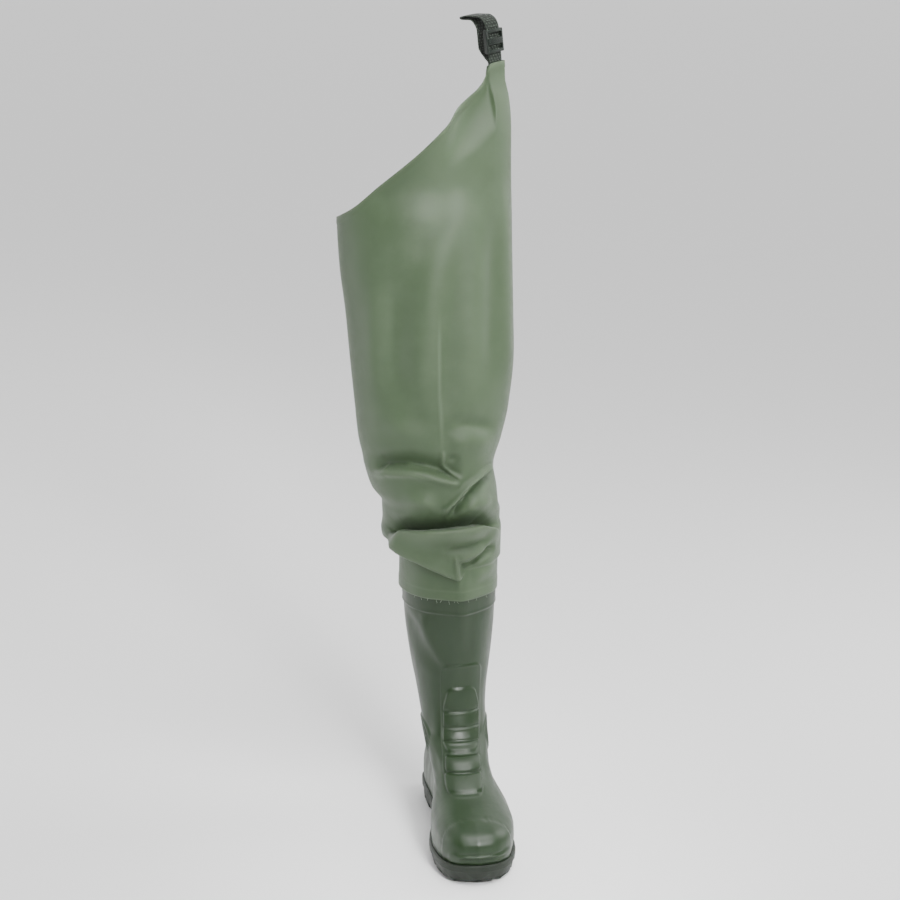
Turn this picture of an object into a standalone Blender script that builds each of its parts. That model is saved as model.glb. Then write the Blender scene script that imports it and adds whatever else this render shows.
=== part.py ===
"""Left hip wader: a moulded boot with a coated fabric leg welded round its cuff.

Frame: metres, +Z up, toe towards -Y, +X is the outer (lateral) side of the left leg.
The origin is the middle of the heel's ground face.
"""
import math
from collections import namedtuple

import bmesh
import bpy
import numpy as np

COLLECTION = "hip_wader"

# Sole and last
SOLE_LENGTH = 0.303
BALL_WIDTH = 0.111
HEEL_TO_BACK = 0.038
HEEL_LENGTH = 0.078
HEEL_FEATHER = 0.032
BALL_FEATHER = 0.023
TOE_FEATHER = 0.030
TOE_SPRING = 0.0055
ARCH_RISE = 0.011
SOLE_TURN_IN = 0.0035
SOLE_BEVEL = 0.0035
RAND_HEIGHT = 0.0085
RAND_STEP = 0.0014
LUG_DEPTH = 0.0065
LUG_GROOVE = 0.0075
LUG_SWEEP = 0.012

# Boot
INSTEP_HEIGHT = 0.100
BOOT_HEIGHT = 0.366
SHAFT_WIDTH = 0.1255
SHAFT_DEPTH = 0.138
SHAFT_SET_BACK = 0.0005
SHAFT_LEAN = 0.006
ANKLE_SET_IN = 0.005
ANKLE_WIDTH = 0.089
BOOT_WALL = 0.0026
UPPER_GAP = 0.0003
INSOLE_LIFT = 0.0004

# Raised forms of the boot's wall
CUFF_LINE = 0.304
CUFF_STEP = 0.0012
CUFF_BEAD = 0.0022
CUFF_BEAD_HEIGHT = 0.0045
TOE_CAP_STEP = 0.0012
TOE_CAP_EDGE = 0.070
TOE_CAP_BOW = 0.016
PANEL_STEP = 0.0014
PANEL_PAD_STEP = 0.0030
PANEL_WIDTH = 0.056
PANEL_TOP = 0.2345
PANEL_FOOT = 0.084
ANKLE_DISC_STEP = 0.0022
ANKLE_DISC_WIDTH = 0.046
ANKLE_DISC_HEIGHT = 0.048
ANKLE_DISC_LINE = 0.030
ANKLE_DISC_RISE = 0.108
TOE_RIB_STEP = 0.0024
TOE_RIB_HEIGHT = 0.0030
TOE_RIB_SHIFT = 0.004

# Insole
INSOLE_THICKNESS = 0.0035
INSOLE_GAP = 0.0008

# Fabric leg
LEG_WALL = 0.0010
LEG_GAP = 0.0003
HEM_HEIGHT = 0.325
CROTCH_HEIGHT = 0.813
TAB_HEIGHT = 1.009
THIGH_WIDTH = 0.221
THIGH_DEPTH = 0.160
TAB_TURN = math.radians(32)
TAB_CANT = math.radians(9)
RIM_HEM = 0.009
RIM_HEM_STEP = 0.0006

# Belt loop and buckle
WEB_WIDTH = 0.020
WEB_THICKNESS = 0.0016
WEB_GAP = 0.0003
WEB_SEAT = 0.014
WEB_INSET = 0.0035
TAB_SLACK = 0.0009
LOOP_RISE = 0.056
LOOP_REACH = 0.047
LOOP_GAP = 0.0165
BUCKLE_WIDTH = 0.0275
BUCKLE_HEIGHT = 0.0285
BUCKLE_DEPTH = 0.0068
BUCKLE_RISE = 0.026
BUCKLE_WINDOW = 0.0052

# Mesh fineness
FOOT_COLUMNS = 40
FOOT_LEVELS = 24
LEG_COLUMNS = 34
WEB_STEPS = 36
CUT_REACH = 0.030

# Outline of the sole, heel to toe: how far along the length, and how far each side
# stands out from the centre line as a share of the ball width.
Outline = namedtuple("Outline", "along medial lateral")
SOLE_OUTLINE = (
    Outline(0.000, 0.000, 0.000),
    Outline(0.012, 0.150, 0.150),
    Outline(0.045, 0.262, 0.264),
    Outline(0.100, 0.330, 0.334),
    Outline(0.170, 0.350, 0.356),
    Outline(0.270, 0.333, 0.362),
    Outline(0.380, 0.312, 0.382),
    Outline(0.480, 0.330, 0.428),
    Outline(0.580, 0.392, 0.486),
    Outline(0.680, 0.455, 0.530),
    Outline(0.760, 0.468, 0.532),
    Outline(0.840, 0.445, 0.495),
    Outline(0.905, 0.402, 0.432),
    Outline(0.955, 0.322, 0.338),
    Outline(0.988, 0.200, 0.206),
    Outline(1.000, 0.000, 0.000),
)

# Sections of the foot, from the feather line up to the ankle. Each is a tilted loop between a
# point of the front profile and a point of the back profile. Lengths along the foot are shares
# of the sole's length from its heel end, rises are shares of the instep height above the
# feather line, widths are shares of the ball width, plan is how much of the sole's outline
# the loop keeps, the rest being round, and set_in is how far its middle stands to the inner
# side, as a share of the ankle's.
Foot = namedtuple("Foot", "front front_rise back back_rise width plan set_in")
FOOT_SECTIONS = (
    Foot(0.983, 0.000, 0.019, 0.000, 0.930, 1.00, 0.00),
    Foot(0.990, 0.120, 0.012, 0.120, 0.958, 1.00, 0.00),
    Foot(0.982, 0.245, 0.008, 0.250, 0.952, 1.00, 0.00),
    Foot(0.955, 0.350, 0.010, 0.370, 0.910, 0.98, 0.05),
    Foot(0.908, 0.430, 0.014, 0.480, 0.840, 0.94, 0.20),
    Foot(0.848, 0.495, 0.020, 0.590, 0.775, 0.88, 0.40),
    Foot(0.784, 0.565, 0.028, 0.700, 0.730, 0.80, 0.60),
    Foot(0.720, 0.655, 0.038, 0.815, 0.725, 0.68, 0.80),
    Foot(0.658, 0.770, 0.048, 0.935, 0.750, 0.52, 0.95),
    Foot(0.600, 0.915, 0.058, 1.060, 0.775, 0.36, 1.00),
)

# Sections of the shaft, ankle to top: height as a share of the boot's height, where the front
# and the back of the loop stand as shares of half the shaft's depth from its centre line,
# width between the ankle's (0) and the shaft top's (1), and the rest of the sole's outline.
Shaft = namedtuple("Shaft", "rise front back widen plan")
SHAFT_SECTIONS = (
    Shaft(0.405, 1.190, 0.665, 0.000, 0.20),
    Shaft(0.460, 1.050, 0.665, 0.060, 0.08),
    Shaft(0.520, 0.965, 0.715, 0.185, 0.02),
    Shaft(0.590, 0.935, 0.795, 0.410, 0.00),
    Shaft(0.680, 0.945, 0.890, 0.660, 0.00),
    Shaft(0.770, 0.970, 0.960, 0.840, 0.00),
    Shaft(0.870, 0.990, 0.990, 0.930, 0.00),
    Shaft(1.000, 1.000, 1.000, 1.000, 0.00),
)

# Padded bars of the shin panel, top to bottom: heights as shares between the panel's foot and
# its top, and the width at its upper and lower edge as shares of the panel's.
Pad = namedtuple("Pad", "top bottom top_width bottom_width")
SHIN_PADS = (
    Pad(0.790, 0.578, 0.640, 0.800),
    Pad(0.552, 0.450, 0.800, 0.780),
    Pad(0.425, 0.330, 0.770, 0.750),
    Pad(0.305, 0.245, 0.740, 0.720),
    Pad(0.215, 0.140, 0.760, 0.780),
    Pad(0.110, 0.030, 0.840, 0.860),
)

# Bumper ribs of the toe cap: height above the toe's feather line as a share of the instep's
# height, and width as a share of the ball width.
Rib = namedtuple("Rib", "rise width")
TOE_RIBS = (
    Rib(0.070, 0.50),
    Rib(0.135, 0.56),
)

# Grooves between the lugs: place along the sole and width as a share of the groove size.
Groove = namedtuple("Groove", "along width")
SOLE_GROOVES = (
    Groove(0.075, 0.80),
    Groove(0.180, 0.80),
    Groove(0.600, 1.00),
    Groove(0.668, 1.00),
    Groove(0.736, 1.00),
    Groove(0.804, 1.00),
    Groove(0.872, 1.00),
    Groove(0.938, 0.90),
)

# Sections of the fabric leg above the boot: height as a share from the boot's top to the
# crotch, where the inner and outer side edges stand, and the half depth in front and behind,
# as shares of the thigh's width and depth.
Leg = namedtuple("Leg", "rise medial lateral front back")
LEG_SECTIONS = (
    Leg(0.012, 0.355, 0.262, 0.470, 0.460),
    Leg(0.040, 0.420, 0.262, 0.500, 0.480),
    Leg(0.075, 0.455, 0.262, 0.520, 0.490),
    Leg(0.125, 0.462, 0.262, 0.530, 0.490),
    Leg(0.170, 0.455, 0.248, 0.530, 0.490),
    Leg(0.220, 0.520, 0.228, 0.530, 0.480),
    Leg(0.285, 0.562, 0.206, 0.525, 0.475),
    Leg(0.370, 0.598, 0.250, 0.505, 0.480),
    Leg(0.460, 0.618, 0.288, 0.495, 0.490),
    Leg(0.600, 0.648, 0.310, 0.485, 0.490),
    Leg(0.730, 0.674, 0.298, 0.480, 0.480),
    Leg(0.880, 0.712, 0.284, 0.470, 0.465),
    Leg(1.000, 0.725, 0.276, 0.450, 0.450),
)

# Above the crotch the leg narrows to its tab: height as a share from crotch to tab, the outer
# edge as a share of the thigh's width, and what is left of the depth.
Top = namedtuple("Top", "rise lateral depth")
TOP_SECTIONS = (
    Top(0.00, 0.276, 0.90),
    Top(0.22, 0.270, 0.72),
    Top(0.45, 0.258, 0.50),
    Top(0.65, 0.245, 0.29),
    Top(0.80, 0.228, 0.11),
    Top(0.88, 0.217, 0.00),
    Top(1.00, 0.209, 0.00),
)
# How round the leg's sections are: 1 is an ellipse, and near 0 two flat layers.
TAB_ROUNDNESS = 0.10
# How much higher the rim runs in front, and lower behind, than at the sides.
RIM_FRONT_LIFT = 0.009
RIM_BACK_DROP = 0.026
RIM_BACK_SWEEP = 0.040  # how far the back rim hollows out below the front one
RIM_SWEEP_LEAN = 1.4  # moves the hollow towards the tab

# The rim: how far across the leg, from its inner to its outer edge, and how high between
# crotch and tab.
Rim = namedtuple("Rim", "across rise")
RIM_CURVE = (
    Rim(0.000, 0.010),
    Rim(0.075, 0.066),
    Rim(0.200, 0.209),
    Rim(0.340, 0.370),
    Rim(0.520, 0.590),
    Rim(0.620, 0.700),
    Rim(0.715, 0.768),
    Rim(0.800, 0.832),
    Rim(0.852, 0.895),
    Rim(0.872, 0.970),
    Rim(1.000, 1.000),
)

# Main folds of the knee: turn of the fold's middle from the inner side (0) by the front (0.25)
# to the outer side (0.5) and the back (0.75), its reach either way, height of its middle and
# its rise to the outer end as shares from boot top to crotch, its sag, depth and half height
# in thigh depths. A negative depth is a ridge.
Fold = namedtuple("Fold", "turn reach rise tilt sag depth spread")
KNEE_FOLDS = (
    Fold(0.250, 0.300, 0.128, 0.014, 0.004, 0.085, 0.050),
    Fold(0.240, 0.270, 0.170, 0.012, 0.004, -0.045, 0.070),
    Fold(0.110, 0.170, 0.325, -0.035, -0.020, 0.045, 0.060),
    Fold(0.130, 0.190, 0.275, -0.060, -0.020, -0.040, 0.075),
    Fold(0.370, 0.150, 0.235, 0.075, 0.010, 0.050, 0.060),
    Fold(0.385, 0.150, 0.310, 0.070, 0.010, -0.040, 0.080),
    Fold(0.750, 0.240, 0.205, 0.020, -0.020, 0.060, 0.070),
    Fold(0.740, 0.240, 0.330, -0.030, 0.020, 0.055, 0.080),
    Fold(0.760, 0.220, 0.105, -0.015, 0.015, 0.040, 0.055),
)


def clear_scene():
    """Remove every object, so that the model starts from an empty scene."""
    for thing in list(bpy.data.objects):
        bpy.data.objects.remove(thing, do_unlink=True)


def new_collection(name):
    """Add a collection to the scene."""
    collection = bpy.data.collections.new(name)
    bpy.context.scene.collection.children.link(collection)
    return collection


def make_material(name, colour, roughness):
    """One Principled material for a piece."""
    material = bpy.data.materials.new(name)
    material.use_nodes = True
    shader = material.node_tree.nodes["Principled BSDF"]
    shader.inputs["Base Color"].default_value = (*colour, 1.0)
    shader.inputs["Roughness"].default_value = roughness
    shader.inputs["Metallic"].default_value = 0.0
    material.diffuse_color = (*colour, 1.0)
    return material


def follow(places, values, at):
    """Read a smooth curve without overshoot through (places, values) at the places given."""
    x = np.asarray(places, float)
    y = np.asarray(values, float)
    at = np.clip(np.asarray(at, float), x[0], x[-1])
    step = np.diff(x)
    slope = np.diff(y) / step
    lean = np.zeros_like(y)
    for i in range(1, len(x) - 1):
        if slope[i - 1] * slope[i] > 0.0:
            first = 2.0 * step[i] + step[i - 1]
            second = step[i] + 2.0 * step[i - 1]
            lean[i] = (first + second) / (first / slope[i - 1] + second / slope[i])
    lean[0] = slope[0]
    lean[-1] = slope[-1]
    i = np.clip(np.searchsorted(x, at, side="right") - 1, 0, len(x) - 2)
    t = (at - x[i]) / step[i]
    return ((1 + 2 * t) * (1 - t) ** 2 * y[i] + t * (1 - t) ** 2 * step[i] * lean[i]
            + t * t * (3 - 2 * t) * y[i + 1] + t * t * (t - 1) * step[i] * lean[i + 1])


def column(rows, name):
    """One named column of a table."""
    return [getattr(row, name) for row in rows]


def along_to_y(along):
    """Place on the Y axis of a share of the sole's length, counted from the heel end."""
    return HEEL_TO_BACK - np.asarray(along) * SOLE_LENGTH


def feather_height(along):
    """Height of the line where the upper meets the sole."""
    places = (0.0, 0.25, 0.45, 0.68, 0.82, 1.0)
    waist = 0.45 * HEEL_FEATHER + 0.55 * BALL_FEATHER
    near_toe = 0.75 * BALL_FEATHER + 0.25 * TOE_FEATHER
    heights = (HEEL_FEATHER, HEEL_FEATHER, waist, BALL_FEATHER, near_toe, TOE_FEATHER)
    return follow(places, heights, along)


def tread_height(along):
    """Height of the tread's lowest line: flat, then rising with the toe spring."""
    return follow((0.0, 0.76, 0.88, 1.0), (0.0, 0.0, 0.25 * TOE_SPRING, TOE_SPRING), along)


def outline_shares(count):
    """Sole outline as (along, side) shares, from the toe round the medial side to the heel
    and back round the lateral side, evenly spaced over each half's run."""
    halves = []
    for side, sign in (("medial", -1.0), ("lateral", 1.0)):
        along = np.array(column(SOLE_OUTLINE, "along"))
        out = np.array(column(SOLE_OUTLINE, side)) * BALL_WIDTH / SOLE_LENGTH
        run = np.concatenate(([0.0], np.cumsum(np.hypot(np.diff(along), np.diff(out)))))
        run /= run[-1]
        place = np.linspace(0.0, 1.0, count // 2 + 1)
        halves.append((follow(run, along, place), sign * follow(run, out, place)))
    medial, lateral = halves
    share = np.concatenate((medial[0][::-1], lateral[0][1:-1]))
    side = np.concatenate((medial[1][::-1], lateral[1][1:-1])) * SOLE_LENGTH / BALL_WIDTH
    return share, side


def smooth_loop_offset(x, y, distance):
    """Move a closed plan loop outwards by a distance along its own normals."""
    tangent_x = np.roll(x, -1) - np.roll(x, 1)
    tangent_y = np.roll(y, -1) - np.roll(y, 1)
    size = np.hypot(tangent_x, tangent_y)
    area = np.sum(x * np.roll(y, -1) - np.roll(x, -1) * y)
    way = math.copysign(1.0, area)
    return x + way * tangent_y / size * distance, y - way * tangent_x / size * distance


def sole_loop(count, distance):
    """Plan of the sole moved outwards by a distance, and each point's share of the length."""
    share, side = outline_shares(count)
    x, y = smooth_loop_offset(side * BALL_WIDTH, along_to_y(share), distance)
    return x, y, np.clip((HEEL_TO_BACK - y) / SOLE_LENGTH, 0.0, 1.0)


def boot_rows():
    """Rows of the boot's loops in metres: front y and z, back y and z, half width, centre x
    and share of the sole's outline."""
    rows = []
    for foot in FOOT_SECTIONS:
        front = along_to_y(foot.front)
        back = along_to_y(foot.back)
        front_z = feather_height(foot.front) + UPPER_GAP + foot.front_rise * INSTEP_HEIGHT
        back_z = feather_height(foot.back) + UPPER_GAP + foot.back_rise * INSTEP_HEIGHT
        rows.append((front, front_z, back, back_z, foot.width * BALL_WIDTH / 2,
                     -foot.set_in * ANKLE_SET_IN, foot.plan))
    centre = SHAFT_SET_BACK - 0.5 * SHAFT_DEPTH + HEEL_TO_BACK
    foot_top = SHAFT_SECTIONS[0].rise
    for shaft in SHAFT_SECTIONS:
        up = (shaft.rise - foot_top) / (1.0 - foot_top)
        height = shaft.rise * BOOT_HEIGHT
        front = centre - shaft.front * SHAFT_DEPTH / 2
        back = centre + shaft.back * SHAFT_DEPTH / 2
        width = ANKLE_WIDTH + shaft.widen * (SHAFT_WIDTH - ANKLE_WIDTH)
        tilt = 0.012 * (1.0 - up) ** 3
        rows.append((front, height - tilt, back, height + tilt, width / 2,
                     -ANKLE_SET_IN - SHAFT_LEAN * up, shaft.plan))
    return np.array(rows, float)


def boot_loops(levels):
    """Loops of the boot's base form at levels from 0, the feather line, to 1, its top.

    Returns an array of levels x columns x 3.
    """
    rows = boot_rows()
    run = np.concatenate(([0.0], np.cumsum(np.hypot(
        np.diff(rows[:, 0]), np.diff(rows[:, 1])) + 0.35 * np.abs(np.diff(rows[:, 3])))))
    run /= run[-1]
    values = [follow(run, rows[:, i], levels) for i in range(rows.shape[1])]
    share, side = outline_shares(FOOT_COLUMNS)
    turn = np.arange(FOOT_COLUMNS) / FOOT_COLUMNS * 2 * math.pi
    loops = []
    for front, front_z, back, back_z, half_width, shift, plan in zip(*values):
        forward = plan * share + (1 - plan) * (0.5 + 0.5 * np.cos(turn))
        across = plan * side * 2.0 - (1 - plan) * np.sin(turn)
        y = back + (front - back) * forward
        level_z = back_z + (front_z - back_z) * forward
        x = across * half_width + shift
        blend = np.clip(1.0 - (np.mean(level_z) - HEEL_FEATHER) / (0.5 * INSTEP_HEIGHT), 0.0, 1.0)
        along = np.clip((HEEL_TO_BACK - y) / SOLE_LENGTH, 0.0, 1.0)
        chord = (back_z + (front_z - back_z) * forward)
        settled = feather_height(along) - (
            feather_height(back_to_share(back)) * (1 - forward)
            + feather_height(back_to_share(front)) * forward)
        loops.append(np.column_stack((x, y, chord + settled * blend)))
    return np.array(loops)


def back_to_share(y):
    """Share of the sole's length at a place on the Y axis."""
    return np.clip((HEEL_TO_BACK - y) / SOLE_LENGTH, 0.0, 1.0)


def grid_normals(grid):
    """Outward unit normals of a grid of closed loops that run up a form."""
    around = np.roll(grid, -1, axis=1) - np.roll(grid, 1, axis=1)
    up = np.gradient(grid, axis=0)
    normal = np.cross(around, up)
    normal /= np.linalg.norm(normal, axis=2, keepdims=True)
    middle = grid.mean(axis=1, keepdims=True)
    if np.sum((grid - middle) * normal) < 0.0:
        normal = -normal
    return normal


def boot_form(distance, below=0.0, above=0.0):
    """The boot's base form moved outwards by a distance, with loops added past both ends."""
    levels = np.linspace(0.0, 1.0, FOOT_LEVELS) ** 0.94
    grid = boot_loops(levels)
    normal = grid_normals(grid)
    for end in (0, -1):
        flat = normal[end] * (1.0, 1.0, 0.0)
        normal[end] = flat / np.linalg.norm(flat, axis=1, keepdims=True)
    grid = grid + normal * distance
    if below:
        grid = np.concatenate((grid[:1] - (0.0, 0.0, below), grid))
    if above:
        grid = np.concatenate((grid, grid[-1:] + (0.0, 0.0, above)))
    return grid


def mesh_object(name, verts, faces, collection):
    """Make an object from points and faces, in flat triangles with normals facing out."""
    mesh = bpy.data.meshes.new(name)
    mesh.from_pydata([tuple(map(float, v)) for v in verts], [], faces)
    shape = bmesh.new()
    shape.from_mesh(mesh)
    bmesh.ops.triangulate(shape, faces=shape.faces)
    bmesh.ops.recalc_face_normals(shape, faces=shape.faces)
    shape.to_mesh(mesh)
    shape.free()
    thing = bpy.data.objects.new(name, mesh)
    collection.objects.link(thing)
    return thing


def ladder_cap(count, start, flip):
    """Faces that close a loop of points by rungs between its two sides."""
    faces = [(start, start + 1, start + count - 1)]
    for k in range(1, count // 2 - 1):
        faces.append((start + k, start + k + 1, start + count - k - 1, start + count - k))
    half = count // 2
    faces.append((start + half - 1, start + half, start + half + 1))
    return [face[::-1] for face in faces] if flip else faces


def solid_from_loops(name, grid, collection):
    """A closed solid through loops, capped at both ends."""
    levels, count = grid.shape[:2]
    faces = []
    for level in range(levels - 1):
        for k in range(count):
            low = level * count
            nxt = (k + 1) % count
            faces.append((low + k, low + nxt, low + count + nxt, low + count + k))
    faces += ladder_cap(count, 0, True)
    faces += ladder_cap(count, (levels - 1) * count, False)
    return mesh_object(name, grid.reshape(-1, 3), faces, collection)


def tube_from_grids(name, outer, inner, collection):
    """A hollow solid with a wall between two grids, open at both ends."""
    levels, count = outer.shape[:2]
    total = levels * count
    faces = []
    for level in range(levels - 1):
        for k in range(count):
            low = level * count
            nxt = (k + 1) % count
            faces.append((low + k, low + nxt, low + count + nxt, low + count + k))
            faces.append((total + low + k, total + low + count + k,
                          total + low + count + nxt, total + low + nxt))
    for low in (0, (levels - 1) * count):
        for k in range(count):
            nxt = (k + 1) % count
            faces.append((low + k, total + low + k, total + low + nxt, low + nxt))
    verts = np.concatenate((outer.reshape(-1, 3), inner.reshape(-1, 3)))
    return mesh_object(name, verts, faces, collection)


def prisms(name, outlines, axis, start, end, collection):
    """Straight solids: outlines of (a, b) points run along one axis from start to end."""
    order = {"x": (2, 0, 1), "y": (0, 2, 1), "z": (0, 1, 2)}[axis]
    verts = []
    faces = []
    for outline in outlines:
        first = len(verts)
        count = len(outline)
        for depth in (start, end):
            for a, b in outline:
                point = (a, b, depth)
                verts.append(tuple(point[i] for i in order))
        faces.append(tuple(range(first, first + count)))
        faces.append(tuple(range(first + count, first + 2 * count)))
        for k in range(count):
            here = first + k
            nxt = first + (k + 1) % count
            faces.append((here, nxt, count + nxt, count + here))
    return mesh_object(name, verts, faces, collection)


def as_cutter(thing):
    """Mark an object as a cutter, seen only as wires."""
    thing.hide_render = True
    thing.display_type = "WIRE"
    return thing


def combine(thing, other, operation):
    """Add an exact Boolean with another object."""
    boolean = thing.modifiers.new(other.name, "BOOLEAN")
    boolean.operation = operation
    boolean.solver = "EXACT"
    boolean.object = other
    return boolean


def finish(thing, material):
    """Give a piece its material and shade its round faces smooth."""
    thing.data.materials.clear()
    thing.data.materials.append(material)
    thing.data.shade_smooth()
    thing.data.set_sharp_from_angle(angle=math.radians(35))


def sole_level(count, distance, height_of):
    """One loop of the sole: its plan moved outwards, at a height for each share along it."""
    x, y, along = sole_loop(count, distance)
    return np.column_stack((x, y, height_of(along)))


def build_outsole(parts, cutters, material):
    """The moulded outsole: rand, stepped side, toe spring, arch, heel block and lugs."""
    count = FOOT_COLUMNS
    grid = np.array([
        sole_level(count, -SOLE_TURN_IN - SOLE_BEVEL, tread_height),
        sole_level(count, -SOLE_TURN_IN, lambda a: tread_height(a) + SOLE_BEVEL),
        sole_level(count, -RAND_STEP, lambda a: feather_height(a) - RAND_HEIGHT - RAND_STEP),
        sole_level(count, 0.0, lambda a: feather_height(a) - RAND_HEIGHT),
        sole_level(count, 0.0, lambda a: feather_height(a) - RAND_STEP),
        sole_level(count, -RAND_STEP, feather_height),
    ])
    sole = solid_from_loops("outsole", grid, parts)
    breast = HEEL_TO_BACK - HEEL_LENGTH
    arch_front = float(along_to_y(0.555))
    side = (
        (breast, -CUT_REACH), (breast - 0.004, ARCH_RISE), (breast - 0.030, ARCH_RISE * 0.85),
        (arch_front + 0.012, LUG_DEPTH * 0.75), (arch_front, -CUT_REACH),
    )
    arch = as_cutter(prisms("arch_cut", [side], "x", -BALL_WIDTH, BALL_WIDTH, cutters))
    combine(sole, arch, "DIFFERENCE")
    for number, groove in enumerate(SOLE_GROOVES):
        y = float(along_to_y(groove.along))
        half = LUG_GROOVE * groove.width / 2
        sweep = LUG_SWEEP if groove.along > 0.5 else 0.0
        outline = ((-BALL_WIDTH, y - half + sweep), (0.0, y - half - sweep),
                   (BALL_WIDTH, y - half + sweep), (BALL_WIDTH, y + half + sweep),
                   (0.0, y + half - sweep), (-BALL_WIDTH, y + half + sweep))
        top = float(tread_height(groove.along)) + LUG_DEPTH
        cutter = prisms(f"groove_cut_{number}", [outline], "z", -CUT_REACH, top, cutters)
        combine(sole, as_cutter(cutter), "DIFFERENCE")
    finish(sole, material)


def rounded_outline(rows, corner_steps=3):
    """Round the corners of a polygon given as (a, b, radius) rows."""
    points = []
    count = len(rows)
    for k, (a, b, radius) in enumerate(rows):
        here = np.array((a, b))
        before = np.array(rows[k - 1][:2]) - here
        after = np.array(rows[(k + 1) % count][:2]) - here
        before /= np.linalg.norm(before)
        after /= np.linalg.norm(after)
        if radius <= 0.0:
            points.append(tuple(here))
            continue
        for step in range(corner_steps + 1):
            t = step / corner_steps
            spot = here + before * radius * (1 - t) ** 2 + after * radius * t ** 2
            points.append(tuple(spot))
    return points


def raised(name, boot, distance, zone, cutters):
    """Raise the boot's wall by a distance inside a zone, from the boot's own form."""
    form = as_cutter(solid_from_loops(name, boot_form(distance), cutters))
    combine(form, as_cutter(zone), "INTERSECT")
    combine(boot, form, "UNION")


def panel_height(share):
    """Height of a share between the shin panel's foot and its top."""
    return PANEL_FOOT + share * (PANEL_TOP - PANEL_FOOT)


def panel_outline(bottom, top, low_width, top_width, bow, corner, centre):
    """Front view of a bar of the shin panel, with bowed upper and lower edges."""
    low = low_width / 2
    high = top_width / 2
    rows = [(centre - high, top, corner), (centre, top + bow, 0.0), (centre + high, top, corner),
            (centre + low, bottom, corner), (centre, bottom + bow, 0.0),
            (centre - low, bottom, corner)]
    return rounded_outline(rows, 2)


def build_boot_upper(parts, cutters, material):
    """The moulded boot: one hollow shell with raised cap, panel, discs and cuff."""
    boot = solid_from_loops("boot_upper", boot_form(0.0), parts)
    cap_y = float(along_to_y(1.0)) + TOE_CAP_EDGE
    front_y = float(along_to_y(1.0)) - CUT_REACH
    edge = [(t * BALL_WIDTH, cap_y - TOE_CAP_BOW * (2 * t) ** 2) for t in np.linspace(-0.7, 0.7, 9)]
    cap_outline = edge + [(0.7 * BALL_WIDTH, front_y), (-0.7 * BALL_WIDTH, front_y)]
    cap_zone = prisms("toe_cap_zone", [cap_outline], "z", 0.0, INSTEP_HEIGHT * 1.3, cutters)
    raised("toe_cap", boot, TOE_CAP_STEP, cap_zone, cutters)

    panel_back = HEEL_TO_BACK - SHAFT_DEPTH * 0.62
    panel = panel_outline(PANEL_FOOT, PANEL_TOP, PANEL_WIDTH * 0.92, PANEL_WIDTH,
                          0.002, 0.010, -ANKLE_SET_IN)
    zone = prisms("shin_panel_zone", [panel], "y", front_y, panel_back, cutters)
    raised("shin_panel", boot, PANEL_STEP, zone, cutters)
    pads = [panel_outline(panel_height(pad.bottom), panel_height(pad.top),
                          PANEL_WIDTH * pad.bottom_width, PANEL_WIDTH * pad.top_width,
                          -0.003, 0.004, -ANKLE_SET_IN) for pad in SHIN_PADS]
    zone = prisms("shin_pad_zone", pads, "y", front_y, panel_back - PANEL_PAD_STEP, cutters)
    raised("shin_pads", boot, PANEL_PAD_STEP, zone, cutters)

    turns = np.arange(20) / 20 * 2 * math.pi
    oval = [(-ANKLE_DISC_LINE + ANKLE_DISC_WIDTH / 2 * math.cos(t),
             ANKLE_DISC_RISE + ANKLE_DISC_HEIGHT / 2 * math.sin(t)) for t in turns]
    zone = prisms("ankle_zone", [oval], "x", -BALL_WIDTH, BALL_WIDTH, cutters)
    raised("ankle_discs", boot, ANKLE_DISC_STEP, zone, cutters)

    square = ((-BALL_WIDTH, -BALL_WIDTH * 2), (BALL_WIDTH, -BALL_WIDTH * 2),
              (BALL_WIDTH, BALL_WIDTH), (-BALL_WIDTH, BALL_WIDTH))
    zone = prisms("cuff_zone", [square], "z", CUFF_LINE, BOOT_HEIGHT + CUT_REACH, cutters)
    raised("cuff", boot, CUFF_STEP, zone, cutters)
    zone = prisms("cuff_bead_zone", [square], "z", CUFF_LINE - CUFF_BEAD_HEIGHT / 2,
                  CUFF_LINE + CUFF_BEAD_HEIGHT / 2, cutters)
    raised("cuff_bead", boot, CUFF_BEAD, zone, cutters)

    bars = []
    for rib in TOE_RIBS:
        low = TOE_FEATHER + rib.rise * INSTEP_HEIGHT
        bars.append(panel_outline(low, low + TOE_RIB_HEIGHT, BALL_WIDTH * rib.width,
                                  BALL_WIDTH * rib.width, 0.0, 0.001, TOE_RIB_SHIFT))
    zone = prisms("toe_rib_zone", bars, "y", front_y, float(along_to_y(0.88)), cutters)
    raised("toe_ribs", boot, TOE_RIB_STEP, zone, cutters)

    inside = boot_form(-BOOT_WALL, below=CUT_REACH, above=CUT_REACH)
    hollow = as_cutter(solid_from_loops("boot_inside", inside, cutters))
    combine(boot, hollow, "DIFFERENCE")
    finish(boot, material)


def build_insole(parts, material):
    """The insole that lies on the outsole, inside the upper's wall."""
    base = boot_form(-BOOT_WALL - INSOLE_GAP)[:1]
    x = base[0, :, 0]
    y = base[0, :, 1]
    along = back_to_share(y)
    low = np.column_stack((x, y, feather_height(along) + INSOLE_LIFT))
    high = low + (0.0, 0.0, INSOLE_THICKNESS)
    insole = solid_from_loops("insole", np.array([low, high]), parts)
    finish(insole, material)


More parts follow.
